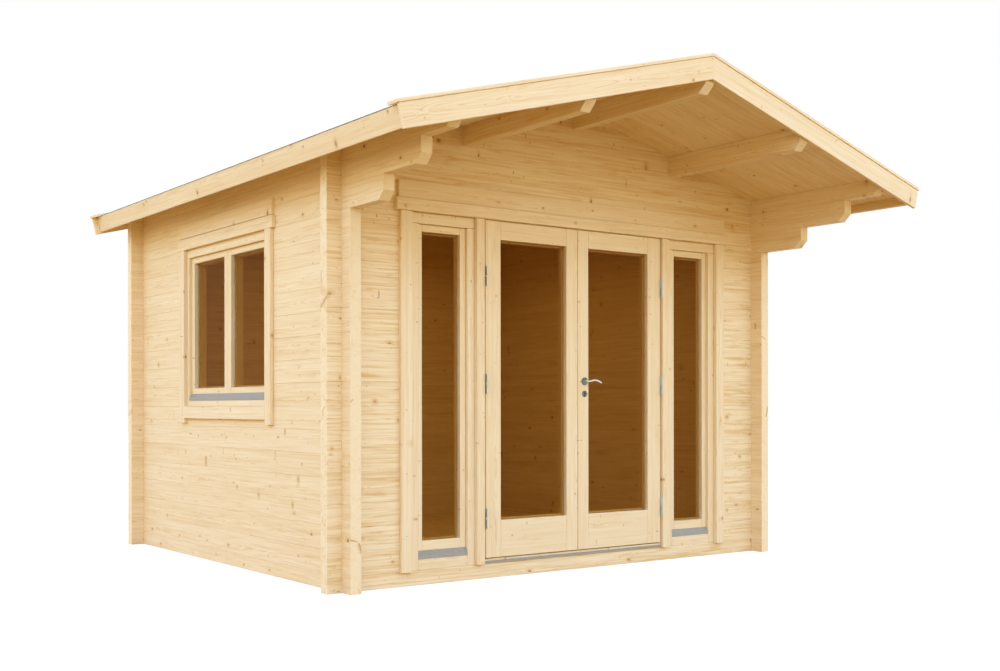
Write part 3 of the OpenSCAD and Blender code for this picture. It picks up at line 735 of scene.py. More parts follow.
class Slope:
    """The frame of a roof slope: u runs down it, y to the back, w square up.

    On the left slope u counts below zero.
    """

    # Points of the roof boards this near the eave belong to their end
    EAVE_END = 0.02

    def __init__(self, side: int) -> None:
        """Reads the slope and the raked front edge from the roof boards."""
        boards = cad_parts["roof_boards_right"].data
        top = max(boards.polygons, key=lambda f: f.area * f.normal.z)
        self.side = side
        self.pitch = math.atan2(top.normal.x, top.normal.z)
        low, high = part_box("roof_boards_right")
        thick = part_box("roof_boards_right", back=Matrix.Rotation(-self.pitch, 4, "Y"))
        apex = high.z - (thick[1].z - thick[0].z) / math.cos(self.pitch)
        self.apex = apex
        self.place = Matrix.Translation((0, 0, apex)) @ Matrix.Rotation(side * self.pitch, 4, "Y")
        eaves = part_box("roof_boards_right", lambda v: v.x > high.x - self.EAVE_END)[0]
        self.front = low.y
        self.rake = (eaves.y - low.y) / high.x

    def box_of(self, node: str, keep: Callable[[Vector], bool] = lambda v: True) -> tuple:
        """Measures a node on this slope, as (low, high) in the slope's frame."""
        def here(point: Vector) -> bool:
            return point.x * self.side > -TOUCH and keep(point)
        return part_box(node, here, self.place.inverted())

    def span(self, near: float, far: float) -> tuple:
        """Returns two distances down the slope as a rising pair of u."""
        return tuple(sorted((self.side * near, self.side * far)))

    def middle_cut(self, gap: float = 0.0) -> Cut:
        """Cuts at the ridge, on this slope's side of the middle."""
        return Cut(Vector((self.side * gap / 2.0, 0, 0)), Vector((-self.side, 0, 0)))

    def front_cut(self, out: float = 0.0) -> Cut:
        """Cuts along the raked front edge, moved forward by out."""
        normal = Vector((self.rake * self.side, -1.0, 0.0)).normalized()
        return Cut(Vector((0, self.front - out, 0)), normal)

    def soffit_cut(self) -> Cut:
        """Cuts along the underside of the roof boards."""
        normal = Vector((self.side * math.sin(self.pitch), 0, math.cos(self.pitch)))
        return Cut(Vector((0, 0, self.apex)), normal)

    def raked(self) -> Matrix:
        """Places a board along the raked front edge instead of square."""
        shear = Matrix.Identity(4)
        shear[1][0] = self.rake * self.side
        return shear @ self.place


@dataclass
class Roof:
    """Roof boards, felt, barge, cap and eave boards, and the purlins."""

    slopes: tuple
    board_width: float = 0.112
    board_joint: float = 0.0022
    felt_ply: float = 0.0014
    felt_strip: float = 0.78
    felt_lap: float = 0.08
    ridge_strip: float = 0.16
    past_ridge: float = -0.06
    felt_back: float = 0.009
    purlin_chamfer: float = 0.05
    cap_drop: float = 0.0027
    board_start: float = -0.01
    ridge_reach: float = 0.05

    def build(self) -> None:
        """Builds every layer of the roof."""
        for slope, name in zip(self.slopes, HALVES):
            self.soffit(slope, name)
        self.felt()
        self.edge_boards()
        self.purlins()
        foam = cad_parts["roof_insulation"]
        foam.data.materials.clear()
        foam.data.materials.append(FOAM.material())

    def soffit(self, slope: Slope, name: str) -> None:
        """Lays boards from the ridge to the eave, one beside the other."""
        node = "roof_boards_" + name
        low, high = slope.box_of(node)
        stock = Stock(31 + slope.side, heart=BOARD_HEART)
        count = round((high.y - low.y) / self.board_width)
        width = (high.y - low.y) / count
        for i in range(count):
            y = low.y + i * width
            u0, u1 = slope.span(self.board_start, max(abs(low.x), abs(high.x)))
            stock.box((u0, y, low.z), (u1, y + width, high.z), Along.X, self.board_joint,
                      cuts=(slope.middle_cut(), slope.front_cut()), place=slope.place)
        stock.stand("soffit_boards_" + name, BOARD_PINE, CHALET, [node])

    def felt(self) -> None:
        """Lays felt in lapped strips from the eaves up, and one on the ridge."""
        stock = Stock(41)
        for slope in self.slopes:
            low, high = slope.box_of("roof_felt")
            back = high.y - self.felt_back
            lip = slope.front - low.y - self.felt_back
            far = max(abs(low.x), abs(high.x))
            strips = []
            while far > 0.0:
                near = max(far - self.felt_strip, self.past_ridge)
                strips.append((near, far, low.z + self.felt_ply * (len(strips) % 2)))
                far = near + self.felt_lap if near > 0.0 else 0.0
            top = high.z - self.felt_ply if len(strips) % 2 else low.z + self.felt_ply
            strips.append((self.past_ridge, self.ridge_strip, top))
            for near, far, base in strips:
                u0, u1 = slope.span(near, far)
                stock.box((u0, low.y, base), (u1, back, base + self.felt_ply), Along.X, SHEET_EASE,
                          cuts=[slope.middle_cut(), slope.front_cut(lip)], place=slope.place)
        stock.stand("felt_strips", FELT, CHALET, ["roof_felt"])

    def edge_boards(self) -> None:
        """Builds the barge, cap and eave boards on both slopes."""
        barge, cap, fascia = (Stock(seed, heart=(0.03, 0.08)) for seed in (51, 52, 53))
        for slope in self.slopes:
            for node, stock in (("barge_boards", barge), ("cap_boards", cap)):
                low, high = slope.box_of(node)
                gap = 2.0 * min(abs(point.x) for point in node_points(node))
                u0, u1 = slope.span(-self.ridge_reach, max(abs(low.x), abs(high.x)))
                front = slope.box_of(node, lambda v: v.y < 0 and abs(v.x) < self.ridge_reach)[0].y
                back = slope.box_of(node, lambda v: v.y > 0)
                depth = back[1].y - back[0].y
                if node == "cap_boards":
                    low.z -= self.cap_drop
                for y0, y1, place in ((front, front + depth, slope.raked()),
                                      (back[0].y, back[1].y, slope.place)):
                    stock.box((u0, y0, low.z), (u1, y1, high.z), Along.X, EASE,
                              cuts=[slope.middle_cut(gap)], place=place)
            low, high = slope.box_of("eave_boards")
            fascia.box(low, high, Along.Y, EASE, cuts=[slope.front_cut()], place=slope.place)
        barge.stand("barge_board_pairs", TRIM_PINE, CHALET, ["barge_boards"])
        cap.stand("cap_board_pairs", TRIM_PINE, CHALET, ["cap_boards"])
        fascia.stand("fascia_boards", TRIM_PINE, CHALET, ["eave_boards"])

    def purlins(self) -> None:
        """Builds the three purlins with chamfered front ends."""
        stock = Stock(61, heart=(0.02, 0.05))
        low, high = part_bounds("purlins")
        inner = (high.x - low.x) / 4.0
        groups = (lambda v: v.x < -inner, lambda v: abs(v.x) < inner, lambda v: v.x > inner)
        for keep in groups:
            start, end = part_box("purlins", keep)
            cuts = [slope.soffit_cut() for slope in self.slopes]
            cuts.append(chamfer_cut(start.y, start.z, self.purlin_chamfer))
            stock.box(start, end, Along.Y, HEAVY_EASE, cuts=cuts)
        stock.stand("purlin_beams", BEAM_PINE, CHALET, ["purlins"])


def chamfer_cut(y: float, z: float, width: float) -> Cut:
    """Takes the corner under a front end at (y, z) off by a width."""
    return Cut(Vector((0, y, z + width)), Vector((0, -1, -1)).normalized())


# ------------------------------------------------------------------ walls


@dataclass
class LogWalls:
    """The walls, log by log, with crossed corners and stepped corbels."""

    slopes: tuple
    course: float = 0.137
    groove: float = 0.0022
    ease: float = 0.0006
    low_corbel: float = 0.435
    mid_corbel: float = 0.785
    chamfer: float = 0.05

    def build(self) -> None:
        """Builds every wall."""
        self.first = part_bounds("front_sill_log")[1].z
        self.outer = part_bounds("wall_right_lower")[1].x
        self.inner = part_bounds("wall_right_lower")[0].x
        for i, name in enumerate(("wall_left_below", "wall_left_front", "wall_left_back",
                                  "wall_right_lower")):
            self.side_wall(name, 100 + i)
        for i, name in enumerate(("wall_left_above", "wall_right_upper")):
            self.corbelled_wall(name, 110 + i)
        for i, name in enumerate(("front_sill_log", "front_wall_left", "front_wall_right",
                                  "front_gable", "back_wall")):
            self.cross_wall(name, 120 + i)

    def courses(self, z0: float, z1: float) -> list:
        """Returns the logs between two heights as pairs of heights."""
        levels = [z0]
        k = 0
        while self.first + k * self.course < z1 - TOUCH:
            z = self.first + k * self.course
            if z > z0 + TOUCH:
                levels.append(z)
            k += 1
        return list(zip(levels, levels[1:] + [z1]))

    def side_wall(self, name: str, seed: int) -> None:
        """Builds a straight run of logs along Y."""
        low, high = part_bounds(name)
        stock = Stock(seed, heart=LOG_HEART)
        for z0, z1 in self.courses(low.z, high.z):
            stock.box((low.x, low.y, z0), (high.x, high.y, z1), Along.Y, self.ease, self.groove)
        stock.stand(name + "_logs", LOG_PINE, CHALET, [name])

    def corbelled_wall(self, name: str, seed: int) -> None:
        """Builds the top of a side wall, which steps forward log by log."""
        low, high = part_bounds(name)
        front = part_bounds("front_gable")[0].y
        stock = Stock(seed, heart=LOG_HEART)
        steps = (front - self.low_corbel, front - self.mid_corbel, low.y)
        z = low.z
        for i, y0 in enumerate(steps):
            z1 = z + self.course if i < len(steps) - 1 else high.z
            cuts = [chamfer_cut(y0, z, self.chamfer)] + [s.soffit_cut() for s in self.slopes]
            stock.box((low.x, y0, z), (high.x, high.y, z1), Along.Y, self.ease, self.groove, cuts)
            z = z1
        stock.stand(name + "_logs", LOG_PINE, CHALET, [name])

    def cross_wall(self, name: str, seed: int) -> None:
        """Builds a wall along X, whose log ends pass the side walls."""
        low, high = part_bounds(name)
        stock = Stock(seed, heart=LOG_HEART)
        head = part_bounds("front_frame_head")
        roofed = name in ("front_gable", "back_wall")
        finish = LOG_PINE if name == "back_wall" else FRONT_PINE
        for z0, z1 in self.courses(low.z, high.z):
            grain = stock.grain(Vector((0, (low.y + high.y) / 2.0, (z0 + z1) / 2.0)))
            runs = [(low.x, -self.outer), (-self.inner, self.inner), (self.outer, high.x)]
            notched = name == "front_gable" and z0 < head[1].z - TOUCH
            if notched:
                runs[1:2] = [(-self.inner, head[0].x), (head[1].x, self.inner)]
            cuts = [s.soffit_cut() for s in self.slopes] if roofed else []
            for x0, x1 in runs:
                x0, x1 = max(x0, low.x), min(x1, high.x)
                if x1 - x0 > TOUCH:
                    stock.box((x0, low.y, z0), (x1, high.y, z1), Along.X, self.ease, self.groove,
                              cuts, grain=grain)
            if notched:
                stock.box((head[0].x, low.y, head[1].z), (head[1].x, high.y, z1), Along.X,
                          self.ease, 0.0, cuts, grain=grain)
        stock.stand(name + "_logs", finish, CHALET, [name])


@dataclass
class Floor:
    """Joists across the plan and floor boards over them."""

    joist_count: int = 7
    first_joist: float = 0.1
    board_width: float = 0.12
    joint: float = 0.0012

    def build(self) -> None:
        """Builds the joists and the boards."""
        low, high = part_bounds("floor_joists")
        stock = Stock(71)
        thick = part_box("floor_joists", lambda v: v.y < low.y + self.first_joist)[1].y - low.y
        pitch = (high.y - low.y - thick) / (self.joist_count - 1)
        for i in range(self.joist_count):
            y = low.y + i * pitch
            stock.box((low.x, y, low.z), (high.x, y + thick, high.z), Along.X, EASE)
        stock.stand("joists", BEAM_PINE, CHALET, ["floor_joists"])
        low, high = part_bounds("floor_boards")
        stock = Stock(72, heart=BOARD_HEART)
        count = round((high.x - low.x) / self.board_width)
        width = (high.x - low.x) / count
        for i in range(count):
            x = low.x + i * width
            split = low.y + thick / 2.0 + pitch * (1 + (i * 3) % (self.joist_count - 2))
            for y0, y1 in ((low.y, split), (split, high.y)):
                stock.box((x, y0, low.z), (x + width, y1, high.z), Along.Y, self.joint)
        stock.stand("floor_board_rows", BOARD_PINE, CHALET, ["floor_boards"])


# ---------------------------------------------------------------- joinery


class Wall(Enum):
    """The wall that a window or frame stands in, as the way it faces."""

    FRONT = "front"
    LEFT = "left"


def wall_place(wall: Wall) -> Matrix:
    """Turns a drawing (x, y, z) with its face towards -Y onto a wall.

    Args:
        wall: The wall that the piece goes to.

    Returns:
        The turn from the drawing to the chalet's frame.
    """
    if wall is Wall.LEFT:
        return Matrix.Rotation(-math.pi / 2.0, 4, "Z")
    return Matrix.Identity(4)


def border(stock: Stock, x: tuple, y: tuple, z: tuple, ease: float, place: Matrix) -> None:
    """Adds two uprights over the full height, and two rails between them.

    Args:
        stock: Where they are gathered.
        x: The faces of the uprights, from left to right.
        y: The front and the back.
        z: The faces of the rails, from the foot up.
        ease: Width of the easing on every edge.
        place: Turns them onto their wall.
    """
    for x0, x1 in (x[:2], x[2:]):
        stock.box((x0, y[0], z[0]), (x1, y[1], z[3]), Along.Z, ease, place=place)
    for z0, z1 in (z[:2], z[2:]):
        stock.box((x[1], y[0], z0), (x[2], y[1], z1), Along.X, ease, place=place)


def band(low: float, high: float, width: float) -> tuple:
    """Returns the faces of a border of one width between two ends."""
    return low, low + width, high - width, high


@dataclass
class Glazing:
    """What a row of sashes is made of: timber, beads, glass and spacers."""

    wood: Stock
    beads: Stock
    glass: Stock
    spacers: Stock

    @classmethod
    def started(cls, seed: int) -> "Glazing":
        """Starts the four stocks, with seeds that count up from the first."""
        return cls(Stock(seed, TRIM_HEART, SEAM), Stock(seed + 1, TRIM_HEART), Stock(seed + 2),
                   Stock(seed + 3))

    def stand(self, names: str, timber: str, body: str, nodes: tuple) -> None:
        """Turns the four stocks into objects.

        Args:
            names: Their names, with {} for what each of them is.
            timber: What the timber is called.
            body: The body that they move with.
            nodes: The nodes of the timber and of the glass.
        """
        self.wood.stand(names.format(timber), JOINERY_PINE, body, nodes[:1])
        self.beads.stand(names.format("beads"), JOINERY_PINE, body)
        self.glass.stand(names.format("panes"), GLASS, body, nodes[1:])
        self.spacers.stand(names.format("spacers"), SPACER, body)


@dataclass
class Sash:
    """A glazed frame: stiles and rails, beads inside and a sealed unit.

    The unit is two sheets of glass with a spacer frame between them.
    """

    low: Vector
    high: Vector
    pane: tuple
    wall: Wall = Wall.FRONT
    ease: float = EASE
    seat: float = 0.008
    bead: float = 0.011
    bead_proud: float = 0.01
    sheet: float = 0.004
    spacer: float = 0.0066

    def add(self, to: Glazing) -> None:
        """Adds the timber, the inner beads, both sheets and the spacer."""
        place = wall_place(self.wall)
        low, high = self.pane
        a, b = inset(self.pane, self.seat)
        border(to.wood, (self.low.x, a.x, b.x, self.high.x), (self.low.y, self.high.y),
               (self.low.z, a.z, b.z, self.high.z), self.ease, place)
        inside = (high.y + FILM, self.high.y + self.bead_proud)
        border(to.beads, band(a.x, b.x, self.bead), inside, band(a.z, b.z, self.bead), EASE, place)
        for y0, y1 in ((low.y, low.y + self.sheet), (high.y - self.sheet, high.y)):
            to.glass.box((low.x, y0, low.z), (high.x, y1, high.z), Along.Z, SHEET_EASE,
                         place=place)
        between = (low.y + self.sheet + FILM, high.y - self.sheet - FILM)
        border(to.spacers, band(low.x, high.x, self.spacer), between,
               band(low.z, high.z, self.spacer), METAL_EASE, place)


def mirrored(side: int, low: Sequence[float], high: Sequence[float]) -> tuple:
    """Returns a box of the right half, or its mirror image on the left."""
    x0, x1 = sorted((side * low[0], side * high[0]))
    return (x0, low[1], low[2]), (x1, high[1], high[2])


def unturned(node: str, keep: Callable[[Vector], bool] = lambda v: True) -> tuple:
    """Measures part of a node of the left wall in its drawing."""
    return part_box(node, keep, wall_place(Wall.LEFT).inverted())


def inset(box: tuple, by: float) -> tuple:
    """Shrinks a box in X and Z on every side."""
    step = Vector((by, 0.0, by))
    return box[0] + step, box[1] - step


# Height of a flashing's front lip, thickness of its sheet, and its play at both
# ends and under the lip
FLASHING_LIP = 0.022
FLASHING_SHEET = 0.0012
FLASHING_PLAY = 0.001


def folded_flashing(stock: Stock, low: Vector, high: Vector, place: Matrix) -> None:
    """Adds a folded drip flashing: an upstand, a sloping top and a lip.

    Args:
        stock: Where it is gathered.
        low: Lowest corner of the room that it fills.
        high: Highest corner of the room that it fills.
        place: Turns it onto its wall.
    """
    x0, x1 = low.x + FLASHING_PLAY, high.x - FLASHING_PLAY
    back, face, foot = high.y - FLASHING_SHEET, low.y + 0.0005, low.z + FLASHING_PLAY
    lip = low.z + FLASHING_LIP
    profile = [(back, high.z), (back, high.z - 0.004), (low.y + 0.0025, lip),
               (face, lip - 0.003), (face, foot), (low.y + 0.006, foot)]
    form, line = chain([(x0, y, z) for y, z in profile])
    edges = [part for part in line if isinstance(part, bmesh.types.BMEdge)]
    grown = bmesh.ops.extrude_edge_only(form, edges=edges)["geom"]
    moved = [v for v in grown if isinstance(v, bmesh.types.BMVert)]
    bmesh.ops.translate(form, vec=(x1 - x0, 0, 0), verts=moved)
    bmesh.ops.recalc_face_normals(form, faces=form.faces)
    bmesh.ops.solidify(form, geom=form.faces[:], thickness=FLASHING_SHEET)
    bmesh.ops.recalc_face_normals(form, faces=form.faces)
    bmesh.ops.transform(form, matrix=place, verts=form.verts)
    stock.add(form)


@dataclass
class FrontFrame:
    """The frame in the front wall: posts, head, sills, stops and casings."""

    stand_back: float = 0.008
    rebate_back: float = 0.0085
    rebate_play: float = 0.0016
    strip_seat: float = 0.004
    strip_lap: float = 0.002
    ribs: int = 3
    rib: float = 0.0016
    rib_step: float = 0.003
    rib_depth: float = 0.004
    rib_ease: float = 0.0005
    strip_face: float = 0.002
    strip_ease: float = 0.0008

    def build(self) -> None:
        """Builds the frame, its casings and the head boards."""
        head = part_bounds("front_frame_head")
        inner = part_box("front_casings", lambda v: 0 < v.x < 1.0)
        door, cover = inner[0].x, inner[1].x
        z_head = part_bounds("front_casings")[1].z
        sill = part_box("front_frame_sills", lambda v: abs(v.x) < door + TOUCH)
        light = part_box("light_sashes", right_half)
        y0, y1 = head[0].y, head[1].y
        stop = part_box("front_frame_uprights", lambda v: 0 < v.x < door - TOUCH)
        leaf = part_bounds("door_leaf_right")
        wood = Stock(81, TRIM_HEART, SEAM)
        wood.box((head[0].x, y0, z_head), head[1], Along.X, EASE)
        wood.box((-door, stop[0].y, stop[1].z), (door, y1, z_head), Along.X, THIN_EASE)
        for side in HALVES.values():
            ends = mirrored(side, (cover, y0, head[0].z), (head[1].x, y1, z_head))
            wood.box(*ends, Along.X, EASE)
        front, back = leaf[0].y + self.rebate_back, stop[0].y + self.strip_lap
        foot = leaf[1].z + self.rebate_play
        wood.box((-door, front, foot), (door, back, z_head + self.strip_seat), Along.X, STRIP_EASE)
        wood.stand("frame_heads", JOINERY_PINE, CHALET, ["front_frame_head"])
        wood = Stock(82, TRIM_HEART, SEAM)
        uprights = (
            (door, y0, sill[0].z, cover, y1, z_head, EASE),
            (cover, y0, sill[0].z, light[0].x, y1, head[0].z, EASE),
            (light[1].x, y0, sill[0].z, head[1].x, y1, head[0].z, EASE),
            (stop[0].x, stop[0].y, stop[0].z, door, y1, stop[1].z, THIN_EASE),
            (leaf[1].x + self.rebate_play, front, leaf[0].z,
             door + self.strip_seat, back, leaf[1].z, STRIP_EASE),
        )
        for side in HALVES.values():
            for upright in uprights:
                wood.box(*mirrored(side, upright[:3], upright[3:6]), Along.Z, upright[6])
        wood.stand("frame_posts", JOINERY_PINE, CHALET, ["front_frame_uprights"])
        wood = Stock(83, TRIM_HEART, SEAM)
        wood.box((-door, y0, sill[0].z), (door, y1, sill[1].z), Along.X, EASE)
        for side in HALVES.values():
            under = mirrored(side, (light[0].x, y0, sill[0].z), (light[1].x, y1, light[0].z))
            wood.box(*under, Along.X, EASE)
        wood.stand("frame_sills", JOINERY_PINE, CHALET, ["front_frame_sills"])
        self.casings(cover)
        self.threshold()

    def casings(self, cover: float) -> None:
        """Builds the four upright casings and the two head boards."""
        wood = Stock(84, TRIM_HEART, SEAM)
        outer = part_box("front_casings", lambda v: v.x > cover + TOUCH)
        inner = part_box("front_casings", lambda v: 0 < v.x < cover + TOUCH)
        inner[0].x += self.stand_back
        for side in HALVES.values():
            for casing in (outer, inner):
                wood.box(*mirrored(side, *casing), Along.Z, BOARD_EASE)
        wood.stand("casing_boards", TRIM_PINE, CHALET, ["front_casings"])
        wood = Stock(85, TRIM_HEART, SEAM)
        for board in head_board_boxes("front_head_boards", Wall.FRONT):
            wood.box(*board, Along.X, HEAVY_EASE)
        wood.stand("head_casing_boards", TRIM_PINE, CHALET, ["front_head_boards"])

    def threshold(self) -> None:
        """Builds the ribbed metal strip in front of the door sill."""
        low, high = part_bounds("door_threshold")
        metal = Stock(86)
        step, under = self.rib_step, high.z - self.rib_depth
        metal.box((low.x, low.y + step, low.z), (high.x, high.y, high.z - step), Along.X,
                  self.strip_ease)
        for i in range(self.ribs):
            y = low.y + step + i * step
            metal.box((low.x, y, under), (high.x, y + self.rib, high.z), Along.X, self.rib_ease)
        metal.box(low, (high.x, low.y + self.strip_face, under), Along.X, STRIP_EASE)
        metal.stand("threshold_strip", ALUMINIUM, CHALET, ["door_threshold"])


def head_board_boxes(node: str, wall: Wall) -> list:
    """Splits a node of two stacked head boards into their boxes.

    Args:
        node: The node's name.
        wall: The wall that they hang on.

    Returns:
        The boxes of the thick lower board and of the thin upper board, in the
        wall's drawing.
    """
    points = node_points(node, wall_place(wall).inverted())
    foot, joint, top = sorted({round(p.z, 4) for p in points})
    boxes = []
    for z0, z1, level in ((foot, joint, foot), (joint, top, top)):
        flat = [p for p in points if abs(p.z - level) < TOUCH]
        a = Vector((min(p.x for p in flat), min(p.y for p in flat), z0))
        b = Vector((max(p.x for p in flat), max(p.y for p in flat), z1))
        boxes.append((a, b))
    return boxes


@dataclass
class SideLights:
    """The two tall fixed lights beside the door."""

    def build(self) -> None:
        """Builds both sashes with glass, beads and flashings."""
        glazing, metal = Glazing.started(91), Stock(95)
        for side in HALVES.values():
            def here(point: Vector) -> bool:
                return point.x * side > 0
            Sash(*part_box("light_sashes", here), part_box("light_glass", here)).add(glazing)
            folded_flashing(metal, *part_box("light_flashings", here), Matrix())
        glazing.stand("light_{}", "sash_frames", CHALET, ("light_sashes", "light_glass"))
        metal.stand("light_drip_flashings", ALUMINIUM, CHALET, ["light_flashings"])


@dataclass
class LeftWindow:
    """The double window in the left wall, with its frame and casings."""

    head_joint: float = 0.0035
    spacer: float = 0.0092
    lining: float = 0.042

    def build(self) -> None:
        """Builds the frame, the sashes, the flashing and the casings."""
        place = wall_place(Wall.LEFT)
        low, high = unturned("window_frame")
        sashes = unturned("window_sashes")
        wood = Stock(131, TRIM_HEART, SEAM)
        border(wood, (low.x, sashes[0].x, sashes[1].x, high.x), (low.y, high.y),
               (low.z, sashes[0].z, sashes[1].z, high.z), EASE, place)
        wood.stand("window_frame_rails", JOINERY_PINE, CHALET, ["window_frame"])
        self.sashes(place)
        self.casings(place)

    def sashes(self, place: Matrix) -> None:
        """Builds both sashes with their glass, and the flashing below."""
        glazing, metal = Glazing.started(132), Stock(136)
        for side in HALVES.values():
            def here(point: Vector) -> bool:
                return point.y * side < 0
            Sash(*unturned("window_sashes", here), unturned("window_glass", here), Wall.LEFT,
                 bead_proud=self.lining, spacer=self.spacer).add(glazing)
        folded_flashing(metal, *unturned("window_flashing"), place)
        glazing.stand("window_{}", "sash_frames", CHALET, ("window_sashes", "window_glass"))
        metal.stand("window_drip_flashing", ALUMINIUM, CHALET, ["window_flashing"])

    def casings(self, place: Matrix) -> None:
        """Builds the casings, the apron board and the head boards."""
        wood = Stock(137, TRIM_HEART, SEAM)
        low, high = unturned("window_casings")
        points = node_points("window_casings", place.inverted())
        edge = min(p.x for p in points if p.x > 0)
        sills = sorted({round(p.z, 4) for p in points if abs(p.x) < edge + TOUCH})
        for x0, x1 in ((low.x, -edge), (edge, high.x)):
            wood.box((x0, low.y, low.z), (x1, high.y, high.z), Along.Z, BOARD_EASE, place=place)
        wood.box((-edge, low.y, sills[1]), (edge, high.y, sills[2]), Along.X, BOARD_EASE,
                 place=place)
        wood.stand("window_casing_boards", TRIM_PINE, CHALET, ["window_casings"])
        wood = Stock(138, TRIM_HEART, SEAM)
        lower, upper = head_board_boxes("window_head_boards", Wall.LEFT)
        lower[0].y = low.y
        lower[1].z -= self.head_joint
        for board in (lower, upper):
            wood.box(*board, Along.X, THIN_EASE, place=place)
        wood.stand("window_head_casings", TRIM_PINE, CHALET, ["window_head_boards"])


@dataclass
class DoorLeaf:
    """One glazed door leaf, with its glass.

    A tongue on the left leaf closes the joint between the leaves from behind.
    """

    name: str
    tongue_back: float = 0.0045
    tongue_depth: float = 0.022
    tongue_seat: float = 0.004
    tongue_play: float = 0.0013

    def build(self) -> None:
        """Builds the leaf with its glass."""
        side = HALVES[self.name]
        low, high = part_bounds("door_leaf_" + self.name)
        wood = Stock(140 + side, TRIM_HEART, SEAM / 2.0)
        glazing = Glazing(wood, Stock(143 + side, TRIM_HEART), Stock(146), Stock(147))
        Sash(low, high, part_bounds("door_glass_" + self.name), ease=BOARD_EASE).add(glazing)
        if self.name == "left":
            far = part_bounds("door_leaf_right")[0].x - self.tongue_play
            wood.box((high.x - self.tongue_seat, low.y + self.tongue_back, low.z),
                     (far, low.y + self.tongue_depth, high.z), Along.Z, STRIP_EASE)
        glazing.stand("door_{}_" + self.name, "frame", "door_" + self.name,
                      ("door_leaf_" + self.name, "door_glass_" + self.name))


# --------------------------------------------------------------- ironwork


def add_turned(stock: Stock, profile: Sequence[tuple], steps: int, place: Matrix) -> None:
    """Adds a form turned from a profile round its own Z axis.

    Args:
        stock: Where it is gathered.
        profile: Pairs of radius and height, from the foot to the top.
        steps: Flats round the form.
        place: Where it goes.
    """
    form, line = chain([(radius, 0.0, height) for radius, height in profile])
    bmesh.ops.spin(form, geom=line, cent=(0, 0, 0), axis=(0, 0, 1), dvec=(0, 0, 0),
                   angle=2.0 * math.pi, steps=steps, use_merge=True, use_duplicate=False)
    bmesh.ops.remove_doubles(form, verts=form.verts, dist=WELD)
    bmesh.ops.recalc_face_normals(form, faces=form.faces)
    bmesh.ops.transform(form, matrix=place, verts=form.verts)
    stock.add(form)


def between(ends: tuple, share: float) -> list:
    """Returns the values a share of the way from the first end to the last."""
    return [first + (last - first) * share for first, last in zip(*ends)]


def out_of_leaf(centre: Sequence[float], out: float) -> Matrix:
    """Places a turned form on a face of the leaf, -1 outside and 1 inside."""
    return Matrix.Translation(centre) @ Matrix.Rotation(out * -math.pi / 2.0, 4, "X")


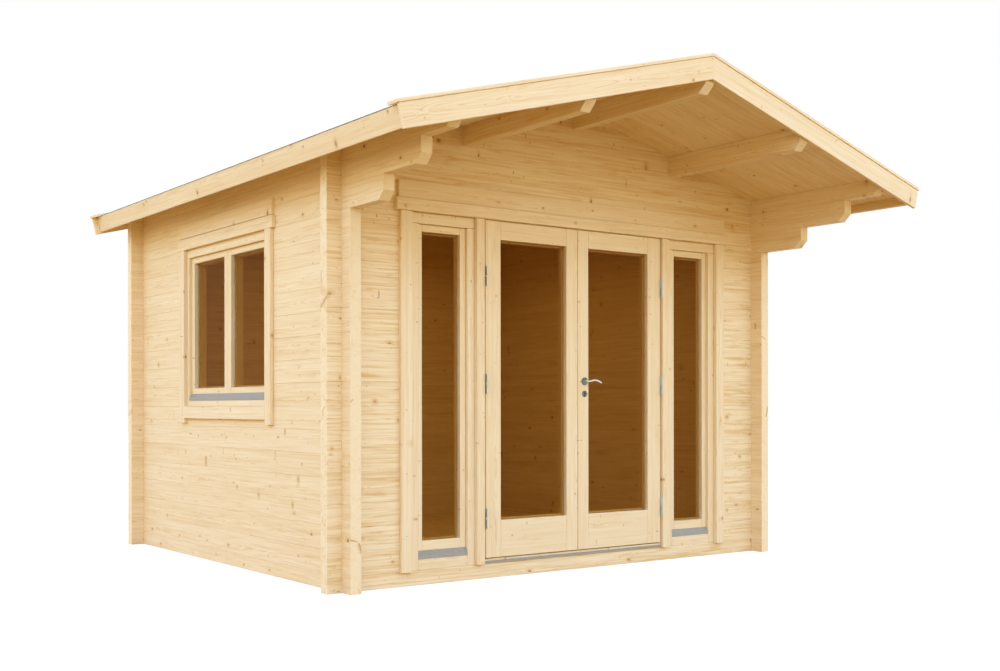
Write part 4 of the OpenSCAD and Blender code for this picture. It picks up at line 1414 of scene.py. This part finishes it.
@dataclass
class Ironwork:
    """Hinges, handle, roses and keyhole plates.

    The sizes of the lever are half its width and half its height, at the start
    and at the end of a stretch.
    """

    knuckle_r: float = 0.0046
    tip_r: float = 0.003
    tip: float = 0.006
    web: float = 0.0024
    web_reach: float = 0.0075
    cad_knuckle_r: float = 0.008
    lever_length: float = 0.104
    lever_rise: float = 0.036
    lever_fall: float = 0.046
    lever_smooth: float = 50.0
    lever_steps: int = 14
    lever_sizes: tuple = ((0.0052, 0.0066), (0.0046, 0.0056))
    tip_size: tuple = (0.003, 0.0034)
    tip_step: tuple = (0.0018, 0.0, -0.001)
    neck_r: float = 0.0068
    bend: float = 0.011
    bend_steps: int = 6
    bend_sizes: tuple = ((0.0064, 0.0066), (0.0046, 0.0054))
    lever_play: float = 0.0003
    lever_in: float = 0.007
    spindle: float = 0.0078
    inset: float = 0.001
    key_drop: float = 0.04
    key_dish: float = 0.62
    keyhole_r: float = 0.0062
    keyhole_up: float = 0.004
    key_slot: tuple = (-0.012, 0.001)
    key_slot_width: float = 0.005
    shade_film: float = 0.0008
    key_ease: float = 0.0002
    barrel: float = 0.2
    tip_ease: float = 0.0012
    knuckle_ease: float = 0.0006

    def build(self) -> None:
        """Builds the slim hinges, the furniture of the lock and the lever."""
        self.hinges()
        self.rose_plates()
        self.levers()

    def levers(self) -> None:
        """Builds the bent lever on both faces of the leaf, and the spindle."""
        low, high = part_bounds("door_handle")
        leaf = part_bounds("door_leaf_right")
        rose = part_box("door_roses", lambda v: v.z > low.z - self.key_drop)
        plate = leaf[0].y - rose[0].y + self.lever_play
        axis = (rose[0] + rose[1]) / 2.0
        stock = Stock(160)
        for face, reach in ((leaf[0].y, low.y), (leaf[1].y, high.y)):
            out = math.copysign(1.0, reach - face)
            foot = Vector((axis.x, face + out * plate, axis.z))
            stock.add(self.bent_bar(foot, reach - out * self.lever_in, out))
        half = self.spindle / 2.0
        stock.box((axis.x - half, leaf[0].y + self.inset, axis.z - half),
                  (axis.x + half, leaf[1].y - self.inset, axis.z + half), Along.Y, METAL_EASE)
        stock.stand("door_lever", STEEL, "handle", ["door_handle"], self.lever_smooth)

    def bent_bar(self, foot: Vector, y_bar: float, out: float,
                 flats: int = 16) -> bmesh.types.BMesh:
        """Sweeps a bar out of the leaf, round a bend and along the lever.

        Args:
            foot: Where it leaves the leaf.
            y_bar: Place of the middle of the lever in Y.
            out: -1 on the outside of the leaf, 1 on the inside.
            flats: Flats round the bar.

        Returns:
            The closed form.
        """
        bend, neck = self.bend, self.neck_r
        path = [(foot, neck, neck), (Vector((foot.x, y_bar - out * bend, foot.z)), neck, neck)]
        for i in range(1, self.bend_steps + 1):
            t = i / self.bend_steps
            turn = t * math.pi / 2.0
            x = foot.x + bend * (1.0 - math.cos(turn))
            y = y_bar - out * bend * (1.0 - math.sin(turn))
            path.append((Vector((x, y, foot.z)), *between(self.bend_sizes, t)))
        for i in range(1, self.lever_steps + 1):
            t = i / self.lever_steps
            x = foot.x + bend + (self.lever_length - bend) * t
            z = foot.z + self.lever_rise * t - self.lever_fall * t * t
            path.append((Vector((x, y_bar, z)), *between(self.lever_sizes, t)))
        path.append((path[-1][0] + Vector(self.tip_step), *self.tip_size))
        stations = []
        for i, (place, across, tall) in enumerate(path):
            ahead = (path[min(i + 1, len(path) - 1)][0] - path[max(i - 1, 0)][0]).normalized()
            side = ahead.cross(Vector((0, 0, 1))).normalized()
            turn = Matrix((side, side.cross(ahead), ahead)).transposed().to_4x4()
            size = Matrix.Diagonal((across, tall, 1.0, 1.0))
            stations.append(Matrix.Translation(place) @ turn @ size)
        form = bmesh.new()
        bmesh.ops.create_circle(form, cap_ends=True, radius=1.0, segments=flats)
        ring = form.edges[:]
        bmesh.ops.transform(form, matrix=stations[0], verts=form.verts)
        for near, far in zip(stations, stations[1:]):
            grown = bmesh.ops.extrude_edge_only(form, edges=ring)["geom"]
            moved = {v for v in grown if isinstance(v, bmesh.types.BMVert)}
            edges = [part for part in grown if isinstance(part, bmesh.types.BMEdge)]
            ring = [edge for edge in edges if moved.issuperset(edge.verts)]
            bmesh.ops.transform(form, matrix=far @ near.inverted(), verts=list(moved))
        bmesh.ops.holes_fill(form, edges=ring, sides=0)
        bmesh.ops.recalc_face_normals(form, faces=form.faces)
        return form

    def hinges(self) -> None:
        """Builds both halves of every hinge round the doors' own axes."""
        frame_halves = Stock(161)
        for name, side in HALVES.items():
            node = "hinge_leaf_halves_" + name
            low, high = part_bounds(node)
            x = side * (max(abs(low.x), abs(high.x)) - self.cad_knuckle_r)
            y = low.y + self.cad_knuckle_r
            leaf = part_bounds("door_leaf_" + name)
            x_leaf = side * max(abs(leaf[0].x), abs(leaf[1].x))
            back = leaf[0].y + self.web_reach
            leaf_half = Stock(162 + side)
            for z0, z1 in self.levels(node):
                self.half(leaf_half, x, y, z0, z1, True, (x_leaf, x_leaf + side * self.web), back)
            leaf_half.stand("hinge_leaf_knuckles_" + name, STEEL, "door_" + name, [node], SMOOTH)
            x_post = x + (x - x_leaf)
            web = (x_post - side * self.web, x_post)
            for z0, z1 in self.levels("hinge_frame_halves"):
                self.half(frame_halves, x, y, z0, z1, False, web, back)
        frame_halves.stand("hinge_frame_knuckles", STEEL, CHALET, ["hinge_frame_halves"], SMOOTH)

    def levels(self, node: str) -> list:
        """Returns the foot and the top of each barrel in a node of hinges."""
        heights = sorted({round(point.z, 4) for point in node_points(node)})
        spans = []
        for z in heights:
            if spans and z - spans[-1][0] < self.barrel:
                spans[-1][1] = z
            else:
                spans.append([z, z])
        return spans

    def half(self, stock: Stock, x: float, y: float, z0: float, z1: float, upper: bool,
             web: tuple, back: float) -> None:
        """Adds a knuckle with its tip and the web that runs back into the joint.

        Args:
            stock: Where it is gathered.
            x: Place of the hinge's axis.
            y: Place of the hinge's axis.
            z0: Foot of the half.
            z1: Top of the half, with the pin where it has one.
            upper: True for the half on the leaf, whose tip points up.
            web: The two faces of the web.
            back: How far back the web runs.
        """
        if not upper:
            z1 = z0 + self.knuckle_height
        r, t, tall, soft = self.knuckle_r, self.tip_r, z1 - z0, self.knuckle_ease
        profile = [(0.0, 0.0), (r - soft, 0.0), (r, soft), (r, tall - self.tip),
                   (t, tall - self.tip + self.tip_ease), (t, tall - self.tip_ease), (0.0, tall)]
        place = Matrix.Translation((x, y, z0))
        if not upper:
            place @= Matrix.Translation((0, 0, tall)) @ Matrix.Rotation(math.pi, 4, "X")
        add_turned(stock, profile, SMALL_FLATS, place)
        low, high = min(web), max(web)
        stock.box((low, y, z0 + self.inset), (high, back, z1 - self.tip - self.inset), Along.Z,
                  METAL_EASE)

    @property
    def knuckle_height(self) -> float:
        """The height of one half of a hinge."""
        z0, z1 = self.levels("hinge_leaf_halves_right")[0]
        return z1 - z0

    def rose_plates(self) -> None:
        """Builds a domed rose and a keyhole plate on both faces of the leaf."""
        plates, keyhole_shade = Stock(163), Stock(164)
        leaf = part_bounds("door_leaf_right")
        middle_y = (leaf[0].y + leaf[1].y) / 2.0
        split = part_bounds("door_handle")[0].z - self.key_drop
        for outside in (True, False):
            face = leaf[0].y if outside else leaf[1].y
            out = -1.0 if outside else 1.0
            for keyed in (False, True):
                def here(point: Vector) -> bool:
                    return (point.y < middle_y) == outside and (point.z < split) == keyed
                low, high = part_box("door_roses", here)
                radius, depth = (high.x - low.x) / 2.0, abs((low.y if outside else high.y) - face)
                centre = Vector(((low.x + high.x) / 2.0, face, (low.z + high.z) / 2.0))
                profile = self.rose_profile(radius, depth, keyed)
                add_turned(plates, profile, LARGE_FLATS, out_of_leaf(centre, out))
                if keyed:
                    self.paint_keyhole_shade(keyhole_shade, centre, out, depth)
        plates.stand("rose_plates", DARK_STEEL, "door_right", ["door_roses"], SMOOTH)
        # The painted shade of the keyholes stands as its own object
        keyhole_shade.stand("keyhole_painted_shade", KEYHOLE_SHADE, "door_right")

    def rose_profile(self, radius: float, depth: float, dished: bool) -> list:
        """Returns the profile of a rose, from the leaf out, round its axis."""
        if dished:
            return [(0.0, 0.0), (radius, 0.0), (radius, depth * 0.6), (radius * 0.9, depth),
                    (radius * 0.72, depth), (radius * 0.62, depth * 0.7),
                    (0.0, depth * self.key_dish)]
        return [(0.0, 0.0), (radius, 0.0), (radius, depth * 0.45), (radius * 0.94, depth * 0.8),
                (radius * 0.82, depth), (0.0, depth)]

    def paint_keyhole_shade(self, stock: Stock, centre: Vector, out: float, depth: float) -> None:
        """Adds painted shade for the round hole and the slot of a keyhole plate, as a dark film on
        the plate.
        """
        face = centre.y + out * depth * self.key_dish
        radius, thick, half = self.keyhole_r, self.shade_film, self.key_slot_width / 2.0
        disc = [(0.0, 0.0), (radius, 0.0), (radius, thick), (0.0, thick)]
        hole = (centre.x, face, centre.z + self.keyhole_up)
        add_turned(stock, disc, SMALL_FLATS, out_of_leaf(hole, out))
        y0, y1 = sorted((face, face + out * thick))
        z0, z1 = (centre.z + z for z in self.key_slot)
        stock.box((centre.x - half, y0, z0), (centre.x + half, y1, z1), Along.Z, self.key_ease)


# ----------------------------------------------------------------- studio


@dataclass
class Studio:
    """Pale floor, soft even light and the camera.

    Light that reaches a surface behind a sealed unit passes four faces of
    glass each way, so it counts as indoor light past six. Between the sheets
    it passes two each way, and is warmed by the wood round it.
    """

    eye: tuple = (-5.1931, -7.2607, 1.0442)
    heading: float = 34.383
    tilt: float = -0.035
    roll: float = 0.075
    lens: float = 43.16
    shift: tuple = (0.0848, 0.0714)
    farthest: float = 200.0
    floor_size: float = 40.0
    floor_colour: tuple = (0.51, 0.29, 0.075)
    floor_pale: tuple = (0.4, 0.4, 0.4)
    floor_glow: float = 0.72
    rises: tuple = (0.15, 0.45, 0.8)
    low_sky: tuple = (1.86, 1.72, 1.15)
    mid_sky: tuple = (1.82, 2.48, 3.48)
    high_sky: tuple = (0.67, 0.66, 0.98)
    indoors: tuple = (0.95, 0.7, 0.28)
    indoor_faces: float = 6.5
    reveals: tuple = (1.08, 0.8, 0.5)
    reveal_faces: float = 2.5
    lamp_colour: tuple = (1.0, 0.6, 0.13)
    lamp_power: float = 5.2
    lamp_share: float = 0.7
    lamp_height: float = 0.78

    def build(self) -> None:
        """Sets the floor, the light and the camera."""
        self.floor()
        self.world()
        self.lamp()
        self.camera()
        view = bpy.context.scene.view_settings
        view.view_transform = "Standard"

    @staticmethod
    def looked_at(graph: Graph) -> bpy.types.NodeSocket:
        """Returns 1 for what is seen, in a mirror or through glass too.

        Light that has met a matt surface on its way counts as lighting.
        """
        path = graph.add("LightPath").outputs
        seen = graph.math("MAXIMUM", path["Is Camera Ray"], path["Is Glossy Ray"])
        seen = graph.math("MAXIMUM", seen, path["Is Transmission Ray"])
        return graph.times(seen, graph.math("LESS_THAN", path["Diffuse Depth"], 0.5))

    def floor(self) -> None:
        """Lays a wide pale floor that shows white away from shadow."""
        form = bmesh.new()
        bmesh.ops.create_grid(form, x_segments=8, y_segments=8, size=self.floor_size)
        mesh = bpy.data.meshes.new("studio_floor")
        form.to_mesh(mesh)
        form.free()
        floor = bpy.data.objects.new("studio_floor", mesh)
        bpy.context.scene.collection.objects.link(floor)
        material = bpy.data.materials.new("studio floor")
        material.use_nodes = True
        material.node_tree.nodes.clear()
        graph = Graph(material.node_tree)
        matt = graph.add("BsdfDiffuse", {"Color": self.floor_colour})
        pale = graph.add("BsdfDiffuse", {"Color": self.floor_pale})
        glow = graph.add("Emission", {"Color": (1, 1, 1), "Strength": self.floor_glow})
        seen = self.looked_at(graph)
        both = graph.add("AddShader", {0: pale.outputs[0], 1: glow.outputs[0]})
        pick = graph.add("MixShader", {0: seen, 1: matt.outputs[0], 2: both.outputs[0]})
        graph.add("OutputMaterial", {"Surface": pick.outputs[0]})
        mesh.materials.append(material)

    def world(self) -> None:
        """Lights evenly from all round, and shows plain white behind."""
        world = bpy.data.worlds.new("studio")
        bpy.context.scene.world = world
        world.use_nodes = True
        world.node_tree.nodes.clear()
        graph = Graph(world.node_tree)
        seen = self.looked_at(graph)
        path = graph.add("LightPath").outputs
        inside = graph.math("GREATER_THAN", path["Transmission Depth"], self.indoor_faces)
        rise = graph.add("SeparateXYZ", {0: graph.add("TexCoord").outputs["Generated"]}).outputs[2]
        sky = graph.mix(graph.step(rise, *self.rises[:2]), self.low_sky, self.mid_sky)
        sky = graph.mix(graph.step(rise, *self.rises[1:]), sky, self.high_sky)
        reveal = graph.math("GREATER_THAN", path["Transmission Depth"], self.reveal_faces)
        sky = graph.mix(reveal, sky, self.reveals, "MULTIPLY")
        light = graph.mix(inside, sky, self.indoors)
        colour = graph.mix(seen, light, (1, 1, 1))
        back = graph.add("Background", {"Color": colour, "Strength": 1.0})
        graph.add("OutputWorld", {"Surface": back.outputs[0]})

    def lamp(self) -> None:
        """Hangs a broad soft lamp under the roof, which is never seen itself."""
        low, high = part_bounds("floor_boards")
        light = bpy.data.lights.new("indoor light", "AREA")
        light.shape = "RECTANGLE"
        light.size = (high.x - low.x) * self.lamp_share
        light.size_y = (high.y - low.y) * self.lamp_share
        light.energy = self.lamp_power
        light.color = self.lamp_colour
        lamp = bpy.data.objects.new("indoor light", light)
        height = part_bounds("back_wall")[1].z * self.lamp_height
        lamp.location = ((low.x + high.x) / 2.0, (low.y + high.y) / 2.0, height)
        lamp.visible_camera = lamp.visible_glossy = lamp.visible_transmission = False
        bpy.context.scene.collection.objects.link(lamp)

    def camera(self) -> None:
        """Sets the camera up."""
        data = bpy.data.cameras.new("camera")
        data.lens = self.lens
        data.shift_x, data.shift_y = self.shift
        data.clip_end = self.farthest
        camera = bpy.data.objects.new("camera", data)
        camera.location = self.eye
        turn = Matrix.Rotation(math.radians(-self.heading), 4, "Z")
        lift = Matrix.Rotation(math.radians(90.0 + self.tilt), 4, "X")
        roll = Matrix.Rotation(math.radians(-self.roll), 4, "Z")
        camera.rotation_euler = (turn @ lift @ roll).to_euler()
        bpy.context.scene.collection.objects.link(camera)
        bpy.context.scene.camera = camera


def main() -> None:
    """Builds the chalet from the studio to the ironwork."""
    logging.basicConfig(level=logging.INFO, format="%(name)s %(message)s")
    Studio().build()
    slopes = tuple(Slope(side) for side in HALVES.values())
    parts = (LogWalls(slopes), Floor(), Roof(slopes), FrontFrame(), SideLights(), LeftWindow(),
             DoorLeaf("left"), DoorLeaf("right"), Ironwork())
    for part in parts:
        part.build()
        LOG.info("%s is built", type(part).__name__)


if __name__ == "__main__":
    main()
